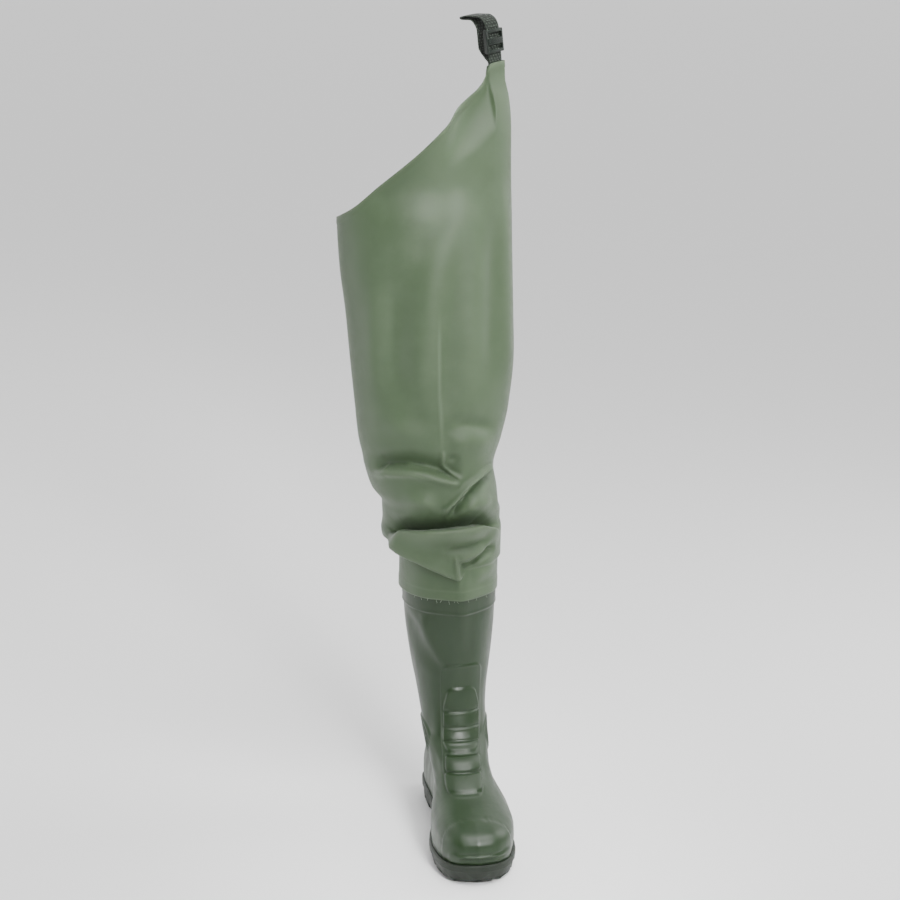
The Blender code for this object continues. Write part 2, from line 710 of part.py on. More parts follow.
def leg_side_edges(height):
    """Inner and outer side edge and front and back half depth of the leg at a height."""
    centre_x = -ANKLE_SET_IN - SHAFT_LEAN
    chord_slack = SHAFT_DEPTH / 2 * (1 / math.cos(math.pi / LEG_COLUMNS) - 1)
    skin = CUFF_STEP + LEG_GAP + LEG_WALL + chord_slack
    cuff = (-SHAFT_WIDTH / 2 - skin + centre_x, SHAFT_WIDTH / 2 + skin + centre_x,
            SHAFT_DEPTH / 2 + skin, SHAFT_DEPTH / 2 + skin)
    heights = [HEM_HEIGHT, BOOT_HEIGHT]
    rows = [cuff, cuff]
    for leg in LEG_SECTIONS:
        heights.append(BOOT_HEIGHT + leg.rise * (CROTCH_HEIGHT - BOOT_HEIGHT))
        rows.append((-leg.medial * THIGH_WIDTH, leg.lateral * THIGH_WIDTH,
                     leg.front * THIGH_DEPTH, leg.back * THIGH_DEPTH))
    tab_half = tab_half_depth() + LEG_WALL
    for top in TOP_SECTIONS[1:]:
        heights.append(CROTCH_HEIGHT + top.rise * (TAB_HEIGHT - CROTCH_HEIGHT))
        depth = top.depth * LEG_SECTIONS[-1].front * THIGH_DEPTH + (1 - top.depth) * tab_half
        rows.append((-LEG_SECTIONS[-1].medial * THIGH_WIDTH, top.lateral * THIGH_WIDTH,
                     depth, depth))
    rows = np.array(rows)
    return [follow(heights, rows[:, i], height) for i in range(4)]


def tab_half_depth():
    """Half the space between the tab's two layers, which holds both ends of the webbing."""
    return WEB_THICKNESS + 1.5 * WEB_GAP + TAB_SLACK


def fold_relief(turn, rise):
    """How far the knee's folds push the cloth in (positive) at a turn and a rise."""
    total = np.zeros_like(rise)
    for fold in KNEE_FOLDS:
        away = (turn - fold.turn + 0.5) % 1.0 - 0.5
        t = np.clip(away / fold.reach, -1.0, 1.0)
        line = fold.rise + fold.tilt * t + fold.sag * (2 * t * t - 1)
        spread = fold.spread * THIGH_DEPTH / (CROTCH_HEIGHT - BOOT_HEIGHT) * 2
        window = np.cos(t * math.pi / 2) ** 0.7
        total += fold.depth * window * np.exp(-((rise - line) / spread * 1.6) ** 2)
    return total * THIGH_DEPTH


def leg_centre():
    """Place of the leg's centre line on the Y axis: over the boot's shaft."""
    return SHAFT_SET_BACK - 0.5 * SHAFT_DEPTH + HEEL_TO_BACK


def leg_point_rows(heights, turn):
    """Points of the leg's outer surface at the heights given, one column at one turn."""
    medial, lateral, front, back = leg_side_edges(heights)
    angle = turn * 2 * math.pi
    depth = np.where(math.sin(angle) >= 0.0, front, back)
    rise = (heights - BOOT_HEIGHT) / (CROTCH_HEIGHT - BOOT_HEIGHT)
    calm = np.clip(rise / 0.05, 0.0, 1.0)
    push = fold_relief(np.full_like(rise, turn), rise) * calm
    half = (lateral - medial) / 2
    x = (lateral + medial) / 2 - (half - push) * math.cos(angle)
    swing = np.clip((heights - CROTCH_HEIGHT) / (TAB_HEIGHT - CROTCH_HEIGHT), 0.0, 1.0)
    flat = np.clip(swing / TOP_SECTIONS[-2].rise, 0.0, 1.0) ** 2
    roundness = 1.0 - (1.0 - TAB_ROUNDNESS) * flat
    bulge = math.copysign(1.0, math.sin(angle)) * abs(math.sin(angle)) ** roundness
    y = -(depth - push) * bulge
    lean = TAB_TURN * swing * swing * (3 - 2 * swing)
    from_edge = x - lateral
    turned_x = lateral + from_edge * np.cos(lean) - y * np.sin(lean)
    turned_y = from_edge * np.sin(lean) + y * np.cos(lean)
    return np.column_stack((turned_x, turned_y + leg_centre(), heights))


def rim_height(turn):
    """Height of the leg's oblique rim at a turn."""
    across = (1 - math.cos(turn * 2 * math.pi)) / 2
    rise = float(follow(column(RIM_CURVE, "across"), column(RIM_CURVE, "rise"), across))
    forward = math.sin(turn * 2 * math.pi)
    swing = RIM_FRONT_LIFT if forward > 0.0 else RIM_BACK_DROP
    swept = RIM_BACK_SWEEP * min(forward, 0.0) * math.sin(math.pi * rise ** RIM_SWEEP_LEAN)
    level = CROTCH_HEIGHT + rise * (TAB_HEIGHT - CROTCH_HEIGHT)
    return level + swing * forward * (1.0 - rise) + swept


def leg_row_shares():
    """Rows of the leg between hem and crotch, closer together across the knee's folds."""
    cuff = np.linspace(HEM_HEIGHT, BOOT_HEIGHT, 3)
    knee_top = BOOT_HEIGHT + 0.40 * (CROTCH_HEIGHT - BOOT_HEIGHT)
    knee = np.linspace(BOOT_HEIGHT, knee_top, 16)[1:]
    thigh = np.linspace(knee_top, CROTCH_HEIGHT - 0.02, 5)[1:]
    return np.concatenate((cuff, knee, thigh))


def leg_grid():
    """Outer surface of the leg, rows from hem to rim."""
    common = leg_row_shares()
    shares = np.linspace(0.0, 1.0, 9)[1:]
    columns = []
    for k in range(LEG_COLUMNS):
        turn = k / LEG_COLUMNS
        top = rim_height(turn)
        low = common[-1]
        hem = min(RIM_HEM, 0.4 * (top - low))
        rising = low + shares[:-1] * (top - hem - low) / shares[-2]
        heights = np.concatenate((common, rising, [top - 0.9 * hem, top]))
        columns.append(leg_point_rows(heights, turn))
    return np.array(columns).transpose(1, 0, 2)


def build_leg(parts, material):
    """The coated fabric leg: a thin tube from the boot's cuff to the oblique rim and tab."""
    outer = leg_grid()
    normal = grid_normals(outer)
    level = normal * (1.0, 1.0, 0.0)
    level /= np.linalg.norm(level, axis=2, keepdims=True)
    for row in (0, 1, 2, -1, -2, -3):
        normal[row] = level[row]
    inner = outer - normal * LEG_WALL
    outer[-2:] += level[-2:] * RIM_HEM_STEP
    leg = tube_from_grids("leg", outer, inner, parts)
    finish(leg, material)


def tab_frame():
    """Middle of the tab's top, and the directions along its width, through it and up it."""
    level = np.array((math.cos(TAB_TURN), math.sin(TAB_TURN), 0.0))
    through = np.array((-math.sin(TAB_TURN), math.cos(TAB_TURN), 0.0))
    width = level * math.cos(TAB_CANT) + np.array((0.0, 0.0, math.sin(TAB_CANT)))
    up = np.cross(width, through)
    edge = np.array((TOP_SECTIONS[-1].lateral * THIGH_WIDTH, leg_centre(), TAB_HEIGHT))
    return edge - width * (WEB_WIDTH / 2 + WEB_INSET), width, through, up


def web_path():
    """Side view of the webbing's centre line as (out, up) points from the tab's top: up the
    front run, over the loop and down the back run."""
    half = (WEB_THICKNESS + WEB_GAP) / 2
    reach = LOOP_REACH
    rise = LOOP_RISE
    points = (
        (-half, -WEB_SEAT), (-half, 0.0), (-half, 0.35 * rise),
        (-half, 0.72 * rise), (0.06 * reach, 0.90 * rise),
        (0.32 * reach, 1.00 * rise), (0.66 * reach, 1.00 * rise), (0.92 * reach, 0.97 * rise),
        (1.00 * reach, 0.93 * rise), (0.92 * reach, 0.89 * rise), (0.60 * reach, 0.87 * rise),
        (LOOP_GAP, 0.70 * rise), (LOOP_GAP, 0.34 * rise), (0.45 * LOOP_GAP, 0.12 * rise),
        (half, 0.0), (half, -WEB_SEAT),
    )
    out = [p[0] for p in points]
    rise = [p[1] for p in points]
    run = np.concatenate(([0.0], np.cumsum(np.hypot(np.diff(out), np.diff(rise)))))
    at = np.linspace(0.0, run[-1], WEB_STEPS)
    return np.column_stack((follow(run, out, at), follow(run, rise, at)))


def build_strap(parts, material):
    """The webbing belt loop: a ribbon with both ends between the layers of the tab."""
    middle, width, through, up = tab_frame()
    path = web_path()
    verts = []
    for out, rise in path:
        centre = middle + through * out + up * rise
        verts.append(centre - width * WEB_WIDTH / 2)
        verts.append(centre + width * WEB_WIDTH / 2)
    faces = [(2 * k, 2 * k + 1, 2 * k + 3, 2 * k + 2) for k in range(len(path) - 1)]
    strap = mesh_object("strap", verts, faces, parts)
    solid = strap.modifiers.new("thickness", "SOLIDIFY")
    solid.thickness = WEB_THICKNESS
    solid.offset = 0.0
    solid.use_even_offset = True
    finish(strap, material)


def box_points(centre, size, axes):
    """Corners of a box about a centre, with its sides along three directions."""
    corners = []
    for a in (-0.5, 0.5):
        for b in (-0.5, 0.5):
            for c in (-0.5, 0.5):
                corners.append(centre + axes[0] * a * size[0] + axes[1] * b * size[1]
                               + axes[2] * c * size[2])
    return corners


def box_object(name, centre, size, axes, collection):
    """A box about a centre, with its sides along three directions."""
    shape = bmesh.new()
    verts = [shape.verts.new(tuple(map(float, p))) for p in box_points(centre, size, axes)]
    bmesh.ops.convex_hull(shape, input=verts)
    mesh = bpy.data.meshes.new(name)
    shape.to_mesh(mesh)
    shape.free()
    thing = bpy.data.objects.new(name, mesh)
    collection.objects.link(thing)
    return thing


def build_buckle(parts, cutters, material):
    """The ladder-lock buckle: a frame round the front run, two windows and a raised bar."""
    middle, width, through, up = tab_frame()
    centre = middle + through * web_path()[0, 0] + up * BUCKLE_RISE
    axes = (width, up, through)
    frame = box_object("buckle", centre, (BUCKLE_WIDTH, BUCKLE_HEIGHT, BUCKLE_DEPTH), axes, parts)
    frame.data.materials.clear()
    bevel = frame.modifiers.new("edges", "BEVEL")
    bevel.width = 0.0012
    bevel.segments = 2
    bevel.limit_method = "ANGLE"
    lever = box_object("buckle_lever", centre - through * BUCKLE_DEPTH * 0.52,
                       (BUCKLE_WIDTH * 0.84, BUCKLE_WINDOW * 1.3, BUCKLE_DEPTH * 0.5),
                       axes, cutters)
    combine(frame, as_cutter(lever), "UNION")
    slot = (WEB_WIDTH + 0.0016, BUCKLE_HEIGHT * 2, WEB_THICKNESS + 0.0016)
    channel = box_object("buckle_channel", centre, slot, axes, cutters)
    combine(frame, as_cutter(channel), "DIFFERENCE")
    for name, way in (("upper", 1.0), ("lower", -1.0)):
        spot = centre + up * way * BUCKLE_HEIGHT * 0.23 - through * BUCKLE_DEPTH * 0.5
        window = box_object(f"buckle_{name}_window", spot,
                            (WEB_WIDTH + 0.0004, BUCKLE_WINDOW, BUCKLE_DEPTH), axes, cutters)
        combine(frame, as_cutter(window), "DIFFERENCE")
    finish(frame, material)


def main():
    """Model every piece of the wader."""
    clear_scene()
    parts = new_collection(COLLECTION)
    cutters = new_collection(COLLECTION + "_cutters")
    build_outsole(parts, cutters, make_material("sole_rubber", (0.040, 0.050, 0.038), 0.55))
    build_boot_upper(parts, cutters, make_material("boot_rubber", (0.055, 0.078, 0.050), 0.38))
    build_insole(parts, make_material("insole_felt", (0.10, 0.10, 0.09), 0.9))
    build_leg(parts, make_material("leg_cloth", (0.19, 0.235, 0.165), 0.55))
    build_strap(parts, make_material("webbing", (0.035, 0.045, 0.036), 0.8))
    build_buckle(parts, cutters, make_material("buckle_plastic", (0.020, 0.028, 0.022), 0.35))


main()
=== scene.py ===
"""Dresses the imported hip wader: moulded boot, coated leg, webbing loop and buckle."""

import logging
import math
from contextlib import contextmanager
from dataclasses import dataclass, field
from enum import Enum
from typing import Callable, Iterator, NamedTuple, Sequence

import bpy
import numpy as np
from mathutils import Matrix, Vector


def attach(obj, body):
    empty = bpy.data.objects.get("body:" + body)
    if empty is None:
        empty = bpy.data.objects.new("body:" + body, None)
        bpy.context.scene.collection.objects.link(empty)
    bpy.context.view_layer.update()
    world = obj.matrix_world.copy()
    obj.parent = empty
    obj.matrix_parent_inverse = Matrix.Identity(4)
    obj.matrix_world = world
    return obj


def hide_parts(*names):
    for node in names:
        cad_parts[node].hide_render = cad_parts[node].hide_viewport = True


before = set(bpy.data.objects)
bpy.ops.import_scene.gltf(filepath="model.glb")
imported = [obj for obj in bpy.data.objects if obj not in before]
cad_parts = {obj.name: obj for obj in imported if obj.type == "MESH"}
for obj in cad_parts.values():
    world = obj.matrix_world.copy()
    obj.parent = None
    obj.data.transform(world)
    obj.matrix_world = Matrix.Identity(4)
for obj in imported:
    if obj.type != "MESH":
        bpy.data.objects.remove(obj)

LOG = logging.getLogger("hip_wader")
MM = 0.001
FULL_TURN = 2 * math.pi
MERGE_DISTANCE = 1e-6
TINY = 1e-9  # keeps a division by a length from failing
FINE_SAMPLES = 2001  # places that the lines of a form are picked from
MIX_FACTOR, MIX_FIRST, MIX_SECOND, MIX_RESULT = 0, 6, 7, 2  # a Mix node's colour sockets

Point = tuple[float, float, float]
Colour = tuple[float, float, float]
Band = tuple[float, float]
Path = tuple[tuple[float, float], ...]
Piece = bpy.types.Object
Socket = bpy.types.NodeSocket


class OutlineRow(NamedTuple):
    """One row of the sole's outline, in shares of its length and of the ball's width."""

    along: float
    medial: float
    lateral: float


class FeatherRow(NamedTuple):
    """Height of the feather line at a share of the sole, mixed from three named heights."""

    along: float
    heel: float
    ball: float
    toe: float


class FootRow(NamedTuple):
    """One loop of the foot, from the feather line up to the ankle."""

    front: float
    front_rise: float
    back: float
    back_rise: float
    width: float
    plan: float
    set_in: float


class ShaftRow(NamedTuple):
    """One loop of the shaft, from the ankle up to its top."""

    rise: float
    front: float
    back: float
    widen: float
    plan: float


class LegRow(NamedTuple):
    """One section of the leg between boot top and crotch."""

    rise: float
    medial: float
    lateral: float
    front: float
    back: float


class TopRow(NamedTuple):
    """One section of the leg between crotch and tab."""

    rise: float
    lateral: float
    depth: float


class RimRow(NamedTuple):
    """One point of the oblique rim."""

    across: float
    rise: float


class PadRow(NamedTuple):
    """One pad over the instep."""

    low: float
    high: float
    half: float


class ThreadRow(NamedTuple):
    """One loose thread of the hem: its turn, its length and how far it slants."""

    turn: float
    length: float
    slant: float


class LoopRow(NamedTuple):
    """One point of the webbing: shares of half its gap, of the reach and opening, and up."""

    half: float
    reach: float
    opening: float
    rise: float
    seat: float


class BarRow(NamedTuple):
    """One bar of the buckle: its place, its side (1 in front), how proud it is, its size."""

    up: float
    side: float
    proud: float
    width: float
    height: float
    depth: float
    edge: float


class Lamp(NamedTuple):
    """A soft rectangular light: where it stands, what it faces, its size, watts and spread."""

    name: str
    place: Point
    target: Point
    size: tuple[float, float]
    power: float
    spread: float = 180.0


def table(kind: Callable, *rows: tuple) -> tuple:
    """A table whose columns have the names of the kind's fields."""
    return tuple(kind(*row) for row in rows)


SOLE_OUTLINE = table(
    OutlineRow, (0, 0, 0), (0.012, 0.15, 0.15), (0.045, 0.262, 0.264),
    (0.1, 0.33, 0.334), (0.17, 0.35, 0.356), (0.27, 0.333, 0.362), (0.38, 0.312, 0.382),
    (0.48, 0.33, 0.428), (0.58, 0.392, 0.486), (0.68, 0.455, 0.53), (0.76, 0.468, 0.532),
    (0.84, 0.445, 0.495), (0.905, 0.402, 0.432), (0.955, 0.322, 0.338), (0.988, 0.2, 0.206),
    (1, 0, 0))
FEATHER_ROWS = table(
    FeatherRow, (0, 1, 0, 0), (0.25, 1, 0, 0), (0.45, 0.45, 0.55, 0),
    (0.68, 0, 1, 0), (0.82, 0, 0.75, 0.25), (1, 0, 0, 1))
FOOT_ROWS = table(
    FootRow, (0.983, 0, 0.019, 0, 0.93, 1, 0),
    (0.99, 0.12, 0.012, 0.12, 0.958, 1, 0),
    (0.982, 0.245, 0.008, 0.25, 0.952, 1, 0),
    (0.955, 0.35, 0.01, 0.37, 0.91, 0.98, 0.05),
    (0.908, 0.43, 0.014, 0.48, 0.84, 0.94, 0.2),
    (0.848, 0.495, 0.02, 0.59, 0.775, 0.88, 0.4),
    (0.784, 0.565, 0.028, 0.7, 0.73, 0.8, 0.6),
    (0.72, 0.655, 0.038, 0.815, 0.725, 0.68, 0.8),
    (0.658, 0.77, 0.048, 0.935, 0.75, 0.52, 0.95),
    (0.6, 0.915, 0.058, 1.06, 0.775, 0.36, 1))
SHAFT_ROWS = table(
    ShaftRow, (0.405, 1.19, 0.665, 0, 0.2), (0.46, 1.05, 0.665, 0.06, 0.08),
    (0.52, 0.965, 0.715, 0.185, 0.02), (0.59, 0.935, 0.795, 0.41, 0),
    (0.68, 0.945, 0.89, 0.66, 0), (0.77, 0.97, 0.96, 0.84, 0),
    (0.87, 0.99, 0.99, 0.93, 0), (1, 1, 1, 1, 0))
LEG_ROWS = table(
    LegRow, (0.012, 0.355, 0.262, 0.47, 0.46), (0.04, 0.42, 0.262, 0.5, 0.48),
    (0.075, 0.455, 0.262, 0.52, 0.49), (0.125, 0.462, 0.262, 0.53, 0.49),
    (0.17, 0.455, 0.248, 0.53, 0.49), (0.22, 0.52, 0.228, 0.53, 0.48),
    (0.285, 0.562, 0.206, 0.525, 0.475), (0.37, 0.598, 0.25, 0.505, 0.48),
    (0.46, 0.618, 0.288, 0.495, 0.49), (0.6, 0.648, 0.31, 0.485, 0.49),
    (0.73, 0.674, 0.298, 0.48, 0.48), (0.88, 0.712, 0.284, 0.47, 0.465),
    (1, 0.725, 0.276, 0.45, 0.45))
TOP_ROWS = table(
    TopRow, (0, 0.276, 0.9), (0.22, 0.27, 0.72), (0.45, 0.258, 0.5), (0.65, 0.245, 0.29),
    (0.8, 0.228, 0.11), (0.88, 0.217, 0), (1, 0.209, 0))
RIM_ROWS = table(
    RimRow, (0, 0.01), (0.075, 0.066), (0.2, 0.209), (0.34, 0.37), (0.52, 0.59),
    (0.62, 0.7), (0.715, 0.768), (0.8, 0.832), (0.852, 0.895), (0.872, 0.97),
    (1, 1))
LOOP_ROWS = table(
    LoopRow, (-1, 0, 0, 0, -1), (-1, 0, 0, 0, 0), (-1, 0, 0, 0.35, 0),
    (-1, 0, 0, 0.72, 0), (0, 0.06, 0, 0.9, 0), (0, 0.32, 0, 1, 0),
    (0, 0.66, 0, 1, 0), (0, 0.92, 0, 0.98, 0), (0, 1, 0, 0.955, 0),
    (0, 0.92, 0, 0.93, 0), (0, 0.6, 0, 0.93, 0), (0, 0, 1, 0.7, 0),
    (0, 0, 1, 0.34, 0), (0, 0, 0.45, 0.12, 0), (1, 0, 0, 0, 0),
    (1, 0, 0, 0, -1))
BUCKLE_BARS = table(
    BarRow, (0.43, 1, 0, 0.86, 0.13, 1, 0.0006), (-0.43, 1, 0, 0.86, 0.13, 1, 0.0006),
    (0, 1, 0.35, 0.86, 0.27, 1.7, 0.0007), (0.3, -1, 0, 0.86, 0.16, 1, 0.0006),
    (-0.3, -1, 0, 0.86, 0.16, 1, 0.0006),
    *((step * 0.048, 1, 1.22, 0.76, 0.02, 0.5, 0.00024) for step in range(-2, 3)))


def follow(places: Sequence[float], values: Sequence[float], at: np.ndarray) -> np.ndarray:
    """Read a smooth curve that doesn't overshoot its points.

    Args:
        places: Where the points stand, rising.
        values: Their values.
        at: Where to read the curve.

    Returns:
        The curve's values at those places.
    """
    x = np.asarray(places, float)
    y = np.asarray(values, float)
    at = np.clip(np.asarray(at, float), x[0], x[-1])
    step = np.diff(x)
    slope = np.diff(y) / step
    lean = np.zeros_like(y)
    for i in range(1, len(x) - 1):
        if slope[i - 1] * slope[i] > 0.0:
            first = 2.0 * step[i] + step[i - 1]
            second = step[i] + 2.0 * step[i - 1]
            lean[i] = (first + second) / (first / slope[i - 1] + second / slope[i])
    lean[0], lean[-1] = slope[0], slope[-1]
    i = np.clip(np.searchsorted(x, at, side="right") - 1, 0, len(x) - 2)
    t = (at - x[i]) / step[i]
    start = (1 + 2 * t) * (1 - t) ** 2 * y[i] + t * (1 - t) ** 2 * step[i] * lean[i]
    return start + t * t * (3 - 2 * t) * y[i + 1] + t * t * (t - 1) * step[i] * lean[i + 1]


def column(rows: Sequence[NamedTuple], name: str) -> np.ndarray:
    """One named column of a table."""
    return np.array([getattr(row, name) for row in rows])


def soft_step(value: np.ndarray, low: float, high: float) -> np.ndarray:
    """Rise smoothly from 0 at low to 1 at high."""
    t = np.clip((value - low) / (high - low), 0.0, 1.0)
    return t * t * (3 - 2 * t)


def within(value: np.ndarray, low: float, high: float) -> np.ndarray:
    """Fall smoothly from 1 at low to 0 at high."""
    return 1.0 - soft_step(value, low, high)


def bell(off: np.ndarray, half: float) -> np.ndarray:
    """A soft bump of height 1 round 0."""
    return np.exp(-(off / half) ** 2)


class Ridge(NamedTuple):
    """A soft ridge beside a line, or a groove where its step is negative."""

    step: float
    half: float
    off: float = 0.0

    def at(self, place: np.ndarray) -> np.ndarray:
        """Its relief at places measured from the line."""
        return self.step * bell(place - self.off, self.half)


def run_along(points: np.ndarray) -> np.ndarray:
    """Length along a line at each of its points."""
    return np.concatenate(([0.0], np.cumsum(np.linalg.norm(np.diff(points, axis=0), axis=1))))


def spaced(places: np.ndarray, run: np.ndarray, spacing: np.ndarray) -> np.ndarray:
    """Pick places that stand closer together where a small spacing is wanted.

    Args:
        places: Fine, rising places.
        run: Length along the form at each of them.
        spacing: Wanted distance between picked places, at each of them.

    Returns:
        The picked places, both ends among them.
    """
    share = np.diff(run) / ((spacing[1:] + spacing[:-1]) / 2)
    total = np.concatenate(([0.0], np.cumsum(share)))
    count = int(math.ceil(total[-1]))
    return np.interp(np.linspace(0.0, total[-1], count + 1), total, places)


def grid_normals(grid: np.ndarray) -> np.ndarray:
    """Outward unit normals of a grid of closed loops whose last column repeats the first."""
    body = grid[:, :-1]
    around = np.roll(body, -1, axis=1) - np.roll(body, 1, axis=1)
    normal = np.cross(around, np.gradient(body, axis=0))
    normal /= np.maximum(np.linalg.norm(normal, axis=2, keepdims=True), TINY)
    if np.sum((body - body.mean(axis=1, keepdims=True)) * normal) < 0.0:
        normal = -normal
    return np.concatenate((normal, normal[:, :1]), axis=1)


def rounded_plate(across: np.ndarray, up: np.ndarray, half: np.ndarray | float, low: float,
                  high: float, corner: float) -> np.ndarray:
    """Signed distance to a plate with rounded corners, negative inside.

    Args:
        across: Places across, from the plate's middle line.
        up: Places up.
        half: Half of the plate's width.
        low: Its lower edge.
        high: Its upper edge.
        corner: Radius of its corners.

    Returns:
        The distance at each place.
    """
    side = np.abs(across) - (half - corner)
    rise = np.abs(up - (low + high) / 2) - ((high - low) / 2 - corner)
    outside = np.hypot(np.maximum(side, 0.0), np.maximum(rise, 0.0))
    return outside + np.minimum(np.maximum(side, rise), 0.0) - corner


def path_distance(across: np.ndarray, up: np.ndarray, path: Path
                  ) -> tuple[np.ndarray, np.ndarray, float]:
    """Distance of places from a line drawn in front view.

    Args:
        across: Places across.
        up: Places up.
        path: The line's points, from the inner towards the outer side.

    Returns:
        Distance with its sign (positive above the line), run along the line, its length.
    """
    best = np.full(across.shape, np.inf)
    signed = np.zeros(across.shape)
    run = np.zeros(across.shape)
    start = 0.0
    for (x0, z0), (x1, z1) in zip(path[:-1], path[1:]):
        length = math.hypot(x1 - x0, z1 - z0)
        ux, uz = (x1 - x0) / length, (z1 - z0) / length
        t = np.clip((across - x0) * ux + (up - z0) * uz, 0.0, length)
        gap = np.hypot(across - x0 - t * ux, up - z0 - t * uz)
        side = np.where(ux * (up - z0) - uz * (across - x0) >= 0.0, 1.0, -1.0)
        nearer = gap < best
        best = np.where(nearer, gap, best)
        signed = np.where(nearer, gap * side, signed)
        run = np.where(nearer, start + t, run)
        start += length
    return signed, run, start


def take(*pieces: Piece) -> None:
    """Select these pieces alone, and make the first one active."""
    bpy.ops.object.select_all(action="DESELECT")
    for piece in pieces:
        piece.select_set(True)
    bpy.context.view_layer.objects.active = pieces[0]


@contextmanager
def editing(piece: Piece) -> Iterator[None]:
    """Hold a piece in edit mode with everything selected."""
    take(piece)
    bpy.ops.object.mode_set(mode="EDIT")
    bpy.ops.mesh.select_all(action="SELECT")
    yield
    bpy.ops.object.mode_set(mode="OBJECT")


def added(operator: Callable, **values: object) -> Piece:
    """Run an operator that adds an object, and return the object."""
    bpy.ops.object.select_all(action="DESELECT")
    operator(**values)
    return bpy.context.object


def joined(name: str, pieces: Sequence[Piece]) -> Piece:
    """Join pieces to a single one of that name."""
    take(*pieces)
    bpy.ops.object.join()
    bpy.context.object.name = name
    return bpy.context.object


def apply_modifier(piece: Piece, kind: str, **values: object) -> None:
    """Add a modifier of a kind with the values given, and apply it."""
    take(piece)
    modifier = piece.modifiers.new(kind.lower(), kind)
    for name, value in values.items():
        setattr(modifier, name, value)
    bpy.ops.object.modifier_apply(modifier=modifier.name)


def formed_grid(name: str, grid: np.ndarray, flat: np.ndarray, wear_and_highlight: np.ndarray) -> Piece:
    """Add a grid and lay it on a form.

    Args:
        name: The piece's name.
        grid: Where its vertices go: rows by columns by 3.
        flat: Their places on the unrolled surface, in metres, for the UV map.
        wear_and_highlight: How worn or creased the surface is at each, and on the leg where a
            painted highlight lies, for the "wear_and_highlight" attribute.

    Returns:
        The piece, with its first and last columns merged where they meet.
    """
    rows, columns = grid.shape[:2]
    piece = added(bpy.ops.mesh.primitive_grid_add, x_subdivisions=columns - 1,
                  y_subdivisions=rows - 1, size=2.0)
    mesh = piece.data
    piece.name = mesh.name = name
    place = np.empty(len(mesh.vertices) * 3)
    mesh.vertices.foreach_get("co", place)
    place = place.reshape(-1, 3)
    across = np.rint((place[:, 0] + 1) / 2 * (columns - 1)).astype(int)
    along = np.rint((place[:, 1] + 1) / 2 * (rows - 1)).astype(int)
    mesh.vertices.foreach_set("co", grid[along, across].ravel())
    corners = np.empty(len(mesh.loops), int)
    mesh.loops.foreach_get("vertex_index", corners)
    mesh.uv_layers.active.data.foreach_set("uv", flat[along[corners], across[corners]].ravel())
    paled = mesh.attributes.new("wear_and_highlight", "FLOAT", "POINT")
    paled.data.foreach_set("value", wear_and_highlight[along, across])
    mesh.update()
    with editing(piece):
        bpy.ops.mesh.remove_doubles(threshold=MERGE_DISTANCE)
        bpy.ops.mesh.normals_make_consistent(inside=False)
    return piece


def face_outwards(piece: Piece, middle: Callable[[float], Point]) -> None:
    """Turn a tube's faces outwards if they point to its middle line."""
    total = sum((face.center - Vector(middle(face.center.z))).dot(face.normal) * face.area
                for face in piece.data.polygons)
    if total < 0.0:
        with editing(piece):
            bpy.ops.mesh.flip_normals()


def add_node(tree: bpy.types.NodeTree, kind: str, inputs: dict, output: str | int,
             **settings: object) -> Socket:
    """Add a node to a tree.

    Args:
        tree: The tree.
        kind: Blender's name of the node, after "ShaderNode".
        inputs: What each input takes: a socket to link or a value to set.
        output: The output that is wanted.
        settings: The node's own settings.

    Returns:
        That output.
    """
    node = tree.nodes.new("ShaderNode" + kind)
    for name, value in settings.items():
        setattr(node, name, value)
    for name, value in inputs.items():
        if isinstance(value, bpy.types.NodeSocket):
            tree.links.new(value, node.inputs[name])
        else:
            node.inputs[name].default_value = value
    return node.outputs[output]


def mapped_range(tree: bpy.types.NodeTree, source: Socket, low: float, high: float,
                 to_low: float, to_high: float) -> Socket:
    """Map a value's range to another, held at both ends."""
    return add_node(tree, "MapRange", {"Value": source, "From Min": low, "From Max": high,
                                       "To Min": to_low, "To Max": to_high}, "Result")


